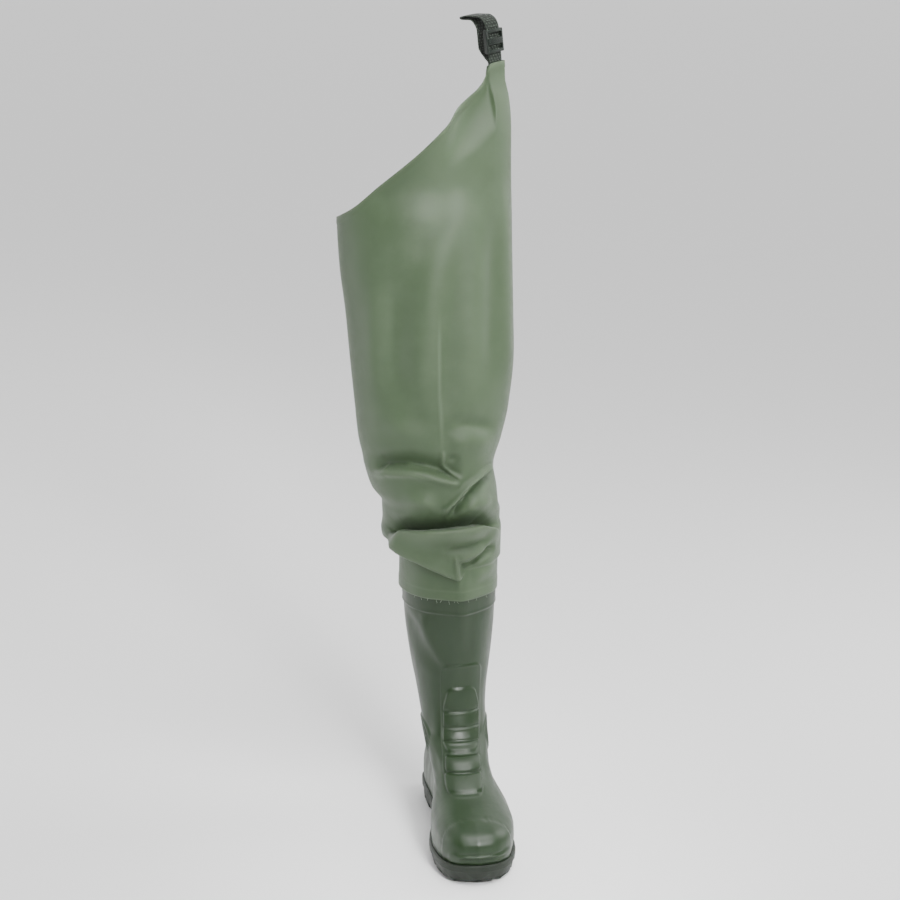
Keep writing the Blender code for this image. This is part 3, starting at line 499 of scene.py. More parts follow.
class NodeSheet:
    """A material's node tree, with short ways to add and join its nodes."""

    def __init__(self, name: str, colour: Colour, roughness: float, **skin: float) -> None:
        """Start a material.

        Args:
            name: The material's name.
            colour: Its plain colour, linear.
            roughness: Its plain roughness.
            skin: More values of the shader, by their names with _ for a space.
        """
        self.material = bpy.data.materials.new(name)
        self.material.use_nodes = True
        self.tree = self.material.node_tree
        self.shader = self.tree.nodes["Principled BSDF"]
        self.shader.inputs["Base Color"].default_value = (*colour, 1.0)
        self.shader.inputs["Roughness"].default_value = roughness
        for socket, value in skin.items():
            self.shader.inputs[socket.replace("_", " ")].default_value = value
        self.places = self.tree.nodes.new("ShaderNodeTexCoord")

    def mapped(self, space: str, scale: Point = (1.0, 1.0, 1.0)) -> Socket:
        """Coordinates of a space ("Object" or "UV"), scaled along each axis."""
        return add_node(self.tree, "Mapping", {"Vector": self.places.outputs[space],
                                               "Scale": scale}, "Vector")

    def noise(self, place: Socket, scale: float, detail: float = 3.0, roughness: float = 0.55
              ) -> Socket:
        """Soft noise from 0 to 1 at a scale in waves per metre."""
        return add_node(self.tree, "TexNoise", {"Vector": place, "Scale": scale,
                                                "Detail": detail, "Roughness": roughness}, "Fac")

    def wave(self, place: Socket, axis: str, scale: float, wander: float) -> Socket:
        """Ridges across an axis, with a wander of their line."""
        return add_node(self.tree, "TexWave", {"Vector": place, "Scale": scale,
                                               "Distortion": wander}, "Fac", bands_direction=axis)

    def stretch(self, source: Socket, low: float, high: float, to_low: float, to_high: float
                ) -> Socket:
        """Map a value's range to another, held at both ends."""
        return mapped_range(self.tree, source, low, high, to_low, to_high)

    def product(self, first: Socket, second: Socket) -> Socket:
        """Multiply two values."""
        return add_node(self.tree, "Math", {0: first, 1: second}, "Value", operation="MULTIPLY")

    def blend(self, factor: Socket, first: Colour | Socket, second: Colour) -> Socket:
        """Blend from one colour to another."""
        start = (*first, 1.0) if isinstance(first, tuple) else first
        return add_node(self.tree, "Mix", {MIX_FACTOR: factor, MIX_FIRST: start,
                                           MIX_SECOND: (*second, 1.0)}, MIX_RESULT,
                        data_type="RGBA")

    def paled(self, tone: Socket, pale: Colour, share: float) -> Socket:
        """Blend a share of a paler colour in where the mesh's "wear_and_highlight" attribute says
        so: wear, and on the leg also a painted highlight.
        """
        wear_and_highlight = add_node(self.tree, "Attribute", {}, "Fac", attribute_name="wear_and_highlight")
        return self.blend(self.stretch(wear_and_highlight, 0.0, 1.0, 0.0, share), tone, pale)

    def varied(self, source: Socket, middle: float, below: float, above: float) -> Socket:
        """A roughness that follows a noise round its middle value."""
        return self.stretch(source, 0.3, 0.7, middle - below, middle + above)

    def height(self) -> Socket:
        """Height above the floor, in metres."""
        return add_node(self.tree, "SeparateXYZ", {"Vector": self.places.outputs["Object"]}, "Z")

    def bump(self, height: Socket, strength: float, depth: float, below: Socket | None = None
             ) -> Socket:
        """Relief of a depth in metres, over another one if given."""
        under = {} if below is None else {"Normal": below}
        return add_node(self.tree, "Bump", {"Height": height, "Strength": strength,
                                            "Distance": depth, **under}, "Normal")

    def finish(self, colour: Socket, roughness: Socket, normal: Socket) -> bpy.types.Material:
        """Join the finished colour, roughness and relief to the shader."""
        for name, source in (("Base Color", colour), ("Roughness", roughness),
                             ("Normal", normal)):
            self.tree.links.new(source, self.shader.inputs[name])
        return self.material


@dataclass(frozen=True)
class RubberFinish:
    """Moulded PVC: a satin skin with cloudy gloss, fine pores, scuffs and dust low down."""

    name: str
    colour: Colour
    pale: Colour
    scuffed: Colour
    roughness: float
    coat: float
    dust_height: float = 0.03
    drawn_out: Point = (1.0, 1.0, 0.45)
    clouds: float = 22.0
    scuffs: float = 160.0
    smears: float = 60.0
    ripples: float = 70.0
    pores: float = 1500.0

    def material(self) -> bpy.types.Material:
        """Build the finish."""
        sheet = NodeSheet(self.name, self.colour, self.roughness, Coat_Weight=self.coat,
                          Coat_Roughness=0.34, Specular_IOR_Level=0.36)
        space = sheet.mapped("Object")
        tall = sheet.mapped("Object", self.drawn_out)
        clouds = sheet.stretch(sheet.noise(tall, self.clouds, 4.0), 0.35, 0.70, 0.0, 0.75)
        tone = sheet.blend(clouds, self.colour, self.pale)
        marks = sheet.stretch(sheet.noise(space, self.scuffs, 6.0, 0.7), 0.60, 0.74, 0.0, 0.55)
        low = sheet.stretch(sheet.height(), 0.0, self.dust_height, 1.0, 0.12)
        tone = sheet.paled(sheet.blend(sheet.product(marks, low), tone, self.scuffed), self.pale,
                          0.5)
        rough = sheet.varied(sheet.noise(tall, self.smears, 5.0), self.roughness, 0.07, 0.09)
        ripple = sheet.bump(sheet.noise(tall, self.ripples, 2.0), 0.35, 0.9 * MM)
        pores = sheet.bump(sheet.noise(space, self.pores, 2.0), 0.16, 0.2 * MM, ripple)
        return sheet.finish(tone, rough, pores)


@dataclass(frozen=True)
class ClothFinish:
    """Coated cloth: a matt skin over a fine plain weave, paler along its creases, with a painted
    highlight along the lips of its laps.
    """

    name: str
    colour: Colour
    pale: Colour
    dark: Colour
    roughness: float
    threads: float = 350.0
    drawn_out: Point = (1.0, 1.0, 0.16)
    bands: float = 14.0
    mottle: float = 45.0
    gloss: float = 90.0
    slack: float = 30.0

    def material(self) -> bpy.types.Material:
        """Build the finish."""
        sheet = NodeSheet(self.name, self.colour, self.roughness, Sheen_Weight=0.06,
                          Sheen_Roughness=0.45, Specular_IOR_Level=0.32)
        space = sheet.mapped("Object")
        tall = sheet.mapped("Object", self.drawn_out)
        bands = sheet.stretch(sheet.noise(tall, self.bands, 1.0), 0.30, 0.70, 0.0, 1.0)
        tone = sheet.blend(bands, self.dark, self.colour)
        mottle = sheet.stretch(sheet.noise(space, self.mottle, 5.0, 0.6), 0.42, 0.75, 0.0, 0.18)
        # Paler along creases, seams and hems, and a painted highlight along the lips of the laps,
        # from the mesh attribute.
        tone = sheet.paled(sheet.blend(mottle, tone, self.pale), self.pale, 0.65)
        rough = sheet.varied(sheet.noise(space, self.gloss, 4.0), self.roughness, 0.07, 0.07)
        weave = sheet.mapped("UV")
        warp, weft = (sheet.wave(weave, axis, self.threads, 0.4) for axis in "XY")
        relief = sheet.bump(sheet.product(warp, weft), 0.22, 0.3 * MM)
        limp = sheet.bump(sheet.noise(tall, self.slack, 2.0), 0.30, 2.0 * MM, relief)
        return sheet.finish(tone, rough, limp)


@dataclass(frozen=True)
class WebbingFinish:
    """Woven webbing: ribs across, a tight twill along, and fuzzy paler edges."""

    name: str
    colour: Colour
    thread: Colour
    roughness: float
    picks: float
    slant: Point = (1.0, 0.45, 1.0)
    fuzz: float = 1400.0

    def material(self) -> bpy.types.Material:
        """Build the finish."""
        sheet = NodeSheet(self.name, self.colour, self.roughness, Sheen_Weight=0.06,
                          Specular_IOR_Level=0.25, Sheen_Roughness=0.5)
        cloth = sheet.mapped("UV")
        twill = sheet.wave(sheet.mapped("UV", self.slant), "DIAGONAL", self.picks * 1.6, 0.5)
        both = sheet.product(sheet.wave(cloth, "Y", self.picks, 0.6), twill)
        fuzz = sheet.noise(cloth, self.fuzz, 4.0, 0.7)
        tone = sheet.blend(sheet.stretch(both, 0.1, 0.9, 0.0, 0.8), self.colour, self.thread)
        tone = sheet.paled(tone, self.thread, 0.6)
        rough = sheet.varied(fuzz, self.roughness, 0.08, 0.08)
        hairs = sheet.bump(fuzz, 0.3, 0.2 * MM, sheet.bump(both, 0.75, 0.9 * MM))
        return sheet.finish(tone, rough, hairs)


@dataclass(frozen=True)
class PlasticFinish:
    """Moulded hard plastic, felt or thread: a grained skin with slight colour clouds."""

    name: str
    colour: Colour
    pale: Colour
    roughness: float
    grain: float
    grain_depth: float
    clouds: float = 120.0

    def material(self) -> bpy.types.Material:
        """Build the finish."""
        sheet = NodeSheet(self.name, self.colour, self.roughness, Specular_IOR_Level=0.30)
        space = sheet.mapped("Object")
        clouds = sheet.stretch(sheet.noise(space, self.clouds, 4.0), 0.35, 0.75, 0.0, 0.8)
        tone = sheet.blend(clouds, self.colour, self.pale)
        grain = sheet.noise(space, self.grain, 3.0)
        rough = sheet.varied(grain, self.roughness, 0.06, 0.06)
        return sheet.finish(tone, rough, sheet.bump(grain, 0.4, self.grain_depth))


Finish = RubberFinish | ClothFinish | WebbingFinish | PlasticFinish
BOOT_PVC = RubberFinish("boot_pvc", (0.012, 0.026, 0.009), (0.019, 0.034, 0.015),
                        (0.050, 0.066, 0.045), 0.38, 0.05)
SOLE_PVC = RubberFinish("sole_pvc", (0.006, 0.011, 0.005), (0.009, 0.014, 0.008),
                        (0.040, 0.046, 0.036), 0.58, 0.02, 0.022)
LEG_CLOTH = ClothFinish("leg_cloth", (0.056, 0.087, 0.045), (0.094, 0.130, 0.079),
                        (0.040, 0.065, 0.031), 0.48)
# The inside of the leg: the coated cloth painted near black, as painted shade for the shadow
# inside the leg.
LEG_INSIDE_SHADE = ClothFinish("leg_inside_painted_shade", (0.012, 0.018, 0.010), (0.018, 0.024, 0.015),
                         (0.009, 0.013, 0.008), 0.75)
WEBBING = WebbingFinish("webbing", (0.006, 0.009, 0.006), (0.044, 0.058, 0.044), 0.78, 90.0)
BUCKLE_PLASTIC = PlasticFinish("buckle_plastic", (0.006, 0.010, 0.007), (0.011, 0.016, 0.012),
                               0.42, 1800.0, 0.1 * MM)
INSOLE_FELT = PlasticFinish("insole_felt", (0.080, 0.080, 0.076), (0.160, 0.158, 0.150),
                            0.92, 1300.0, 0.7 * MM)
THREAD = PlasticFinish("thread", (0.200, 0.250, 0.180), (0.300, 0.350, 0.270), 0.70, 2600.0,
                       0.1 * MM)


def hand_over(piece: Piece, slot: str, *nodes: str, finish: Finish | None = None,
              sharp: float | None = None) -> Piece:
    """Shade a finished piece and tie it to the frame.

    Args:
        piece: The piece, in place.
        slot: The record's material slot for the piece; not used.
        nodes: The CAD nodes that it stands for.
        finish: Its material, where it has none yet.
        sharp: The angle in degrees from which its edges stay sharp, if any do.

    Returns:
        The piece.
    """
    take(piece)
    if sharp is None:
        bpy.ops.object.shade_smooth()
    else:
        bpy.ops.object.shade_smooth_by_angle(angle=math.radians(sharp))
    if finish is not None:
        piece.data.materials.append(finish.material())
    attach(piece, "root")
    if nodes:
        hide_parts(*nodes)
    LOG.info("%s: %d faces", piece.name, len(piece.data.polygons))
    return piece


@dataclass
class ShinPanel:
    """The shin panel: a plate, a field of crowned ribs and two pads over the instep."""

    foot: float = 0.086
    top: float = 0.2315
    half: float = 0.0275
    step: float = 0.0008
    edge: Band = (-0.0012, 0.0008)
    taper: float = 0.08
    taper_run: float = 0.15
    corner: float = 0.010
    brow: Ridge = Ridge(0.0007, 0.0012, -0.0012)
    brow_below: Band = (0.010, 0.002)
    side_brow: float = 0.15
    rib_edges: tuple[float, ...] = (0.2000, 0.168, 0.148, 0.132, 0.1235)
    rib_crown: float = 0.0011
    field_half: float = 0.0185
    field_flare: float = 0.0050
    flare_run: float = 0.030
    field_corner: float = 0.009
    field_step: float = 0.0014
    field_edge: Band = (-0.0013, 0.0008)
    rib_lines: tuple[Ridge, ...] = (Ridge(-0.0015, 0.0011, 0.0006), Ridge(0.0009, 0.0013, -0.0020))
    notches: tuple[Ridge, ...] = table(Ridge, *((-0.0007, 0.0008, step * 0.0035)
                                                for step in (-1, 0, 1)))
    notch_ends: Ridge = Ridge(1.0, 0.0022, -0.003)
    pads: tuple[PadRow, ...] = (PadRow(0.1060, 0.1205, 0.0225), PadRow(0.0890, 0.1045, 0.0235))
    pad_step: float = 0.0030
    pad_edge: Band = (-0.0014, 0.0006)
    pad_fall: float = 0.35
    pad_corner: float = 0.0028
    pad_moat: Ridge = Ridge(-0.0007, 0.0009, 0.0012)
    seam: Ridge = Ridge(-0.0005, 0.0005, 0.001)

    def relief(self, across: np.ndarray, up: np.ndarray) -> np.ndarray:
        """How far the skin stands out, at places across from the panel's middle line and up."""
        half = self.half * (1.0 - self.taper * soft_step(self.top - up, 0.0, self.taper_run))
        plate = rounded_plate(across, up, half, self.foot, self.top, self.corner)
        relief = self.step * within(plate, *self.edge)
        low, high = self.brow_below
        brow = self.side_brow + soft_step(up, self.top - low, self.top - high)
        relief += brow * self.brow.at(plate) + self.ribs(across, up)
        for pad in self.pads:
            block = rounded_plate(across, up, pad.half, pad.low, pad.high, self.pad_corner)
            middle, reach = (pad.low + pad.high) / 2, (pad.high - pad.low) / 2
            crown = 1.0 - self.pad_fall * ((up - middle) / reach) ** 2
            relief += self.pad_step * crown * within(block, *self.pad_edge)
            relief += self.pad_moat.at(block)
        on_lower = (up > self.pads[-1].low) * (up < self.pads[-1].high + self.seam.half)
        return relief + self.seam.at(across) * on_lower

    def ribs(self, across: np.ndarray, up: np.ndarray) -> np.ndarray:
        """Relief of the ribbed field: crowned ribs, the grooves between and their notched ends.

        Args:
            across: Places across from the panel's middle line.
            up: Heights.

        Returns:
            How far the skin stands out.
        """
        top, foot = self.rib_edges[0], self.rib_edges[-1]
        half = self.field_half + self.field_flare * soft_step(top - up, 0.0, self.flare_run)
        plate = rounded_plate(across, up, half, foot, top, self.field_corner)
        inside = within(plate, *self.field_edge)
        relief = self.field_step * inside
        for high, low in zip(self.rib_edges[:-1], self.rib_edges[1:]):
            t = np.clip((up - (high + low) / 2) / ((high - low) / 2), -1.0, 1.0)
            relief += self.rib_crown * np.sqrt(1.0 - t * t) * inside
        ends = self.notch_ends.at(np.abs(across) - half)
        for edge in self.rib_edges[1:-1]:
            relief += sum(line.at(up - edge) for line in self.rib_lines) * inside
            relief += sum(notch.at(up - edge) for notch in self.notches) * ends
        return relief


@dataclass
class ToeCap:
    """The toe cap: its step with a seam, and a bumper with two grooves at the toe."""

    edge: float = 0.041
    bow: float = 0.014
    step: float = 0.0010
    step_edge: Band = (-0.0016, 0.0008)
    seam: Ridge = Ridge(-0.0006, 0.0009, 0.0010)
    bumper: Band = (0.0250, 0.0450)
    bumper_half: float = 0.040
    bumper_shift: float = 0.004
    bumper_corner: float = 0.005
    bumper_step: float = 0.0012
    bumper_edge: Band = (-0.0022, 0.0010)
    bumper_reach: float = 0.05
    facing: Band = (0.30, 0.60)
    grooves: tuple[float, ...] = (0.0435, 0.0378)
    groove_ends: Band = (0.025, 0.031)
    groove_lines: tuple[Ridge, ...] = (Ridge(-0.0019, 0.0010), Ridge(0.0009, 0.0012, -0.0022))

    def relief(self, x: np.ndarray, back: np.ndarray, z: np.ndarray, forward: np.ndarray,
               width: float) -> np.ndarray:
        """How far the skin stands out round the toe.

        Args:
            x: Places across.
            back: Distances back from the toe's tip.
            z: Heights.
            forward: How far the skin faces forwards.
            width: The ball's width.

        Returns:
            The distance at each place.
        """
        cap = back - self.edge + self.bow * (2 * x / width) ** 2
        relief = self.step * within(cap, *self.step_edge) + self.seam.at(cap)
        off = x - self.bumper_shift
        bumper = rounded_plate(off, z, self.bumper_half, *self.bumper, self.bumper_corner)
        front = soft_step(forward, *self.facing) * (back < self.bumper_reach)
        relief += self.bumper_step * within(bumper, *self.bumper_edge) * front
        front = front * within(np.abs(off), *self.groove_ends)
        for rise in self.grooves:
            relief += sum(line.at(z - rise) for line in self.groove_lines) * front
        return relief


@dataclass
class AnkleDisc:
    """The oval disc on both sides of the ankle, with its two rings."""

    line: float = 0.060
    rise: float = 0.121
    half_width: float = 0.0370
    half_height: float = 0.0270
    step: float = 0.0022
    rim: Band = (0.95, 1.02)
    rings: tuple[Ridge, ...] = (Ridge(-0.0015, 0.035, 0.86), Ridge(-0.0015, 0.035, 0.68))
    facing: Band = (0.25, 0.45)

    def relief(self, y: np.ndarray, z: np.ndarray, sideways: np.ndarray) -> np.ndarray:
        """How far the skin stands out, where it faces sideways."""
        oval = np.hypot((y + self.line) / self.half_width, (z - self.rise) / self.half_height)
        relief = self.step * within(oval, *self.rim) + sum(ring.at(oval) for ring in self.rings)
        return relief * soft_step(np.abs(sideways), *self.facing)


@dataclass
class StoredShaft:
    """What lying flat in store leaves on the shaft: a pressed line, facets and a crest."""

    line: Path = ((-0.056, 0.3000), (-0.040, 0.2620), (-0.0230, 0.2320))
    line_from: Band = (0.215, 0.245)
    line_to: Band = (0.285, 0.302)
    ridge: Ridge = Ridge(0.0022, 0.0065)
    hollow: Ridge = Ridge(-0.0024, 0.0095, -0.015)
    facet: Ridge = Ridge(0.0012, 0.012, 0.034)
    facet_from: Band = (0.19, 0.27)
    facet_to: Band = (0.292, 0.303)
    crest_line: float = -0.003
    point: Ridge = Ridge(0.0034, 0.011)
    beside: Ridge = Ridge(-0.0016, 0.013, 0.030)
    crest_facing: Band = (0.1, 0.4)
    crest_from: Band = (0.22, 0.31)

    def crest(self, x: np.ndarray, forward: np.ndarray) -> np.ndarray:
        """How far the shaft comes to a soft point at its front and back."""
        off = x - self.crest_line
        crest = self.point.at(off) + self.beside.at(np.abs(off))
        return crest * soft_step(np.abs(forward), *self.crest_facing)

    def relief(self, x: np.ndarray, z: np.ndarray, middle: float, facing: np.ndarray,
               forward: np.ndarray) -> np.ndarray:
        """How far the skin stands out.

        Args:
            x: Places across.
            z: Heights.
            middle: The shaft's middle line.
            facing: 1 on the front of the shaft, 0 elsewhere.
            forward: The skin's normals along the Y axis.

        Returns:
            The distance at each place.
        """
        off = path_distance(x, z, self.line)[0]
        pressed = self.ridge.at(off) + self.hollow.at(off)
        relief = pressed * facing * soft_step(z, *self.line_from) * within(z, *self.line_to)
        facet = self.facet.at(np.abs(x - middle))
        relief += facet * facing * soft_step(z, *self.facet_from) * within(z, *self.facet_to)
        return relief + self.crest(x, forward) * soft_step(z, *self.crest_from)


@dataclass
class MouldedBoot:
    """The boot: foot, ankle and shaft in one skin, with its cap, panel, discs and cuff."""

    sole_length: float = 0.303
    ball_width: float = 0.111
    heel_to_back: float = 0.038
    heel_feather: float = 0.032
    ball_feather: float = 0.023
    toe_feather: float = 0.030
    upper_gap: float = 0.0003
    instep_height: float = 0.100
    height: float = 0.366
    shaft_width: float = 0.1255
    shaft_depth: float = 0.138
    shaft_set_back: float = 0.0005
    shaft_lean: float = 0.006
    ankle_width: float = 0.089
    ankle_set_in: float = 0.005
    ankle_tilt: float = 0.012
    wall: float = 0.0026
    cuff_line: float = 0.304
    cuff_step: float = 0.0012
    cuff_soft: float = 0.0010
    cuff_bead: Ridge = Ridge(0.0008, 0.0012, 0.0012)
    welt_groove: Ridge = Ridge(-0.0008, 0.002, 0.003)
    back_share: float = 0.35  # how much the back's rise counts in the loops' spacing
    settle_share: float = 0.5  # share of the instep over which the sole's curve fades out
    cap: ToeCap = field(default_factory=ToeCap)
    disc: AnkleDisc = field(default_factory=AnkleDisc)
    panel: ShinPanel = field(default_factory=ShinPanel)
    stored: StoredShaft = field(default_factory=StoredShaft)
    panel_shift: float = 0.005
    panel_shift_run: Band = (0.09, 0.16)
    panel_from_toe: float = 0.06
    facing: Band = (0.05, 0.35)
    paled: Band = (0.0030, 0.0055)
    skin_pitch: float = 0.0016
    level_samples: int = 1600
    fine_levels: tuple[Band, ...] = ((0.0, 0.062), (0.078, 0.238), (0.298, 0.310))
    fine_turns: float = 0.115
    girth_share: float = 2.7
    level_pitches: Band = (1.0, 2.6)
    turn_pitches: Band = (0.8, 2.2)

    @property
    def centre_x(self) -> float:
        """Place of the shaft's middle line on the X axis, at its top."""
        return -self.ankle_set_in - self.shaft_lean

    @property
    def centre_y(self) -> float:
        """Place of the shaft's middle line on the Y axis."""
        return self.shaft_set_back - 0.5 * self.shaft_depth + self.heel_to_back

    def along_to_y(self, along: float) -> float:
        """Place on the Y axis of a share of the sole's length."""
        return self.heel_to_back - along * self.sole_length

    def feather_height(self, along: np.ndarray | float) -> np.ndarray:
        """Height of the line where the upper meets the sole."""
        heights = [row.heel * self.heel_feather + row.ball * self.ball_feather
                   + row.toe * self.toe_feather for row in FEATHER_ROWS]
        return follow(column(FEATHER_ROWS, "along"), heights, along)

    def outline(self, turns: np.ndarray) -> tuple[np.ndarray, np.ndarray]:
        """The sole's outline at turns from the toe (0) round the inner side to the heel (0.5).

        Args:
            turns: Turns from 0 to 1.

        Returns:
            Share of the length and sideways share of the ball's width at each.
        """
        share = np.zeros_like(turns)
        side = np.zeros_like(turns)
        along = column(SOLE_OUTLINE, "along")
        for name, sign, chosen in (("medial", -1.0, turns <= 0.5), ("lateral", 1.0, turns > 0.5)):
            out = column(SOLE_OUTLINE, name) * self.ball_width / self.sole_length
            run = run_along(np.column_stack((along, out)))
            place = np.abs(1.0 - 2.0 * turns[chosen]) * run[-1]
            share[chosen] = follow(run, along, place)
            side[chosen] = sign * follow(run, out, place) * self.sole_length / self.ball_width
        return share, side

    def rows(self) -> np.ndarray:
        """Front and back points, half width, sideways place and plan share of every loop."""
        rows = []
        for foot in FOOT_ROWS:
            ends = []
            for along, rise in ((foot.front, foot.front_rise), (foot.back, foot.back_rise)):
                ends += [self.along_to_y(along), self.feather_height(along) + self.upper_gap
                         + rise * self.instep_height]
            rows.append((*ends, foot.width * self.ball_width / 2,
                         -foot.set_in * self.ankle_set_in, foot.plan))
        foot_top = SHAFT_ROWS[0].rise
        for shaft in SHAFT_ROWS:
            up = (shaft.rise - foot_top) / (1.0 - foot_top)
            tilt = self.ankle_tilt * (1.0 - up) ** 3
            width = self.ankle_width + shaft.widen * (self.shaft_width - self.ankle_width)
            rows.append((
                self.centre_y - shaft.front * self.shaft_depth / 2,
                shaft.rise * self.height - tilt,
                self.centre_y + shaft.back * self.shaft_depth / 2,
                shaft.rise * self.height + tilt,
                width / 2, -self.ankle_set_in - self.shaft_lean * up, shaft.plan))
        return np.array(rows, float)

    def loops(self, levels: np.ndarray, turns: np.ndarray) -> np.ndarray:
        """The smooth form's loops.

        Args:
            levels: Levels from 0, the feather line, to 1, the top.
            turns: Turns from the toe round the inner side.

        Returns:
            Levels by turns by 3.
        """
        rows = self.rows()
        steps = np.hypot(np.diff(rows[:, 0]), np.diff(rows[:, 1]))
        steps += self.back_share * np.abs(np.diff(rows[:, 3]))
        run = np.concatenate(([0.0], np.cumsum(steps)))
        run /= run[-1]
        values = [follow(run, rows[:, i], levels) for i in range(rows.shape[1])]
        share, side = self.outline(turns % 1.0)
        angle = turns * FULL_TURN
        loops = []
        for front, front_z, back, back_z, half, shift, plan in zip(*values):
            forward = plan * share + (1 - plan) * (0.5 + 0.5 * np.cos(angle))
            across = plan * side * 2.0 - (1 - plan) * np.sin(angle)
            y = back + (front - back) * forward
            height = back_z + (front_z - back_z) * forward
            drop = np.clip(1.0 - (np.mean(height) - self.heel_feather)
                           / (self.settle_share * self.instep_height), 0.0, 1.0)
            along = np.clip((self.heel_to_back - y) / self.sole_length, 0.0, 1.0)
            ends = [self.feather_height((self.heel_to_back - end) / self.sole_length)
                    for end in (back, front)]
            settled = self.feather_height(along) - ends[0] * (1 - forward) - ends[1] * forward
            loops.append(np.column_stack((across * half + shift, y, height + settled * drop)))
        return np.array(loops)

    def grid(self) -> np.ndarray:
        """The smooth form, with its lines closer together where the relief is."""
        fine = np.linspace(0.0, 1.0, self.level_samples)
        front = self.loops(fine, np.array([0.0]))[:, 0]
        height = front[:, 2]
        near = np.any([(height > low) & (height < high) for low, high in self.fine_levels],
                      axis=0)
        close, wide = self.level_pitches
        levels = spaced(fine, run_along(front), self.skin_pitch * np.where(near, close, wide))
        fine = np.linspace(0.0, 1.0, FINE_SAMPLES)
        near = np.minimum(fine, 1.0 - fine) < self.fine_turns
        close, wide = self.turn_pitches
        turns = spaced(fine, fine * self.girth_share * self.shaft_depth,
                       self.skin_pitch * np.where(near, close, wide))
        return self.loops(levels, turns)

    def relief(self, grid: np.ndarray, normal: np.ndarray) -> np.ndarray:
        """How far the skin stands out from the smooth form.

        Args:
            grid: The smooth form.
            normal: Its normals.

        Returns:
            The distance at each vertex.
        """
        x, y, z = (grid[..., i] for i in range(3))
        back = y - self.along_to_y(1.0)
        forward = -normal[..., 1]
        facing = soft_step(forward, *self.facing)
        relief = self.cap.relief(x, back, z, forward, self.ball_width)
        aside = self.ankle_set_in - self.panel_shift * soft_step(z, *self.panel_shift_run)
        relief += self.panel.relief(x + aside, z) * facing * (back > self.panel_from_toe)
        relief += self.disc.relief(y, z, normal[..., 0])
        relief += self.stored.relief(x, z, self.centre_x, facing, forward)
        cuff = z - self.cuff_line
        relief += self.cuff_step * soft_step(cuff, -self.cuff_soft, self.cuff_soft)
        relief += self.cuff_bead.at(cuff)
        return relief + self.welt_groove.at(z - self.feather_height(0.9))

    def build(self) -> Piece:
        """Model and finish the boot."""
        grid = self.grid()
        normal = grid_normals(grid)
        normal[[0, -1], :, 2] = 0.0
        relief = self.relief(grid, normal)
        skin = grid + normal * relief[..., None]
        low, high = self.paled
        wear_and_highlight = np.clip((relief - low) / (high - low), 0.0, 1.0)
        boot = formed_grid("boot_shell", skin, skin[..., (0, 2)], wear_and_highlight)
        face_outwards(boot, lambda z: (0.0, self.centre_y - 0.35 * max(0.0, 0.12 - z), z))
        apply_modifier(boot, "SOLIDIFY", thickness=self.wall, offset=-1.0)
        return hand_over(boot, "boot_rubber", "boot_upper", finish=BOOT_PVC)


class FoldKind(Enum):
    """Forms that a fold of the cloth takes."""

    RIDGE = "ridge"
    TROUGH = "trough"
    LAP = "lap"


RIDGE, TROUGH, LAP = FoldKind


@dataclass(frozen=True)
class Fold:
    """A fold, given in millimetres: its half width, push, fade-out and line.

    The line is drawn in front view. Above it the half width grows by "above", and a lap
    hangs over by "drop".
    """

    kind: FoldKind
    half: float
    push: float
    fade: float
    path: Path
    above: float = 1.0
    drop: float = 0.0


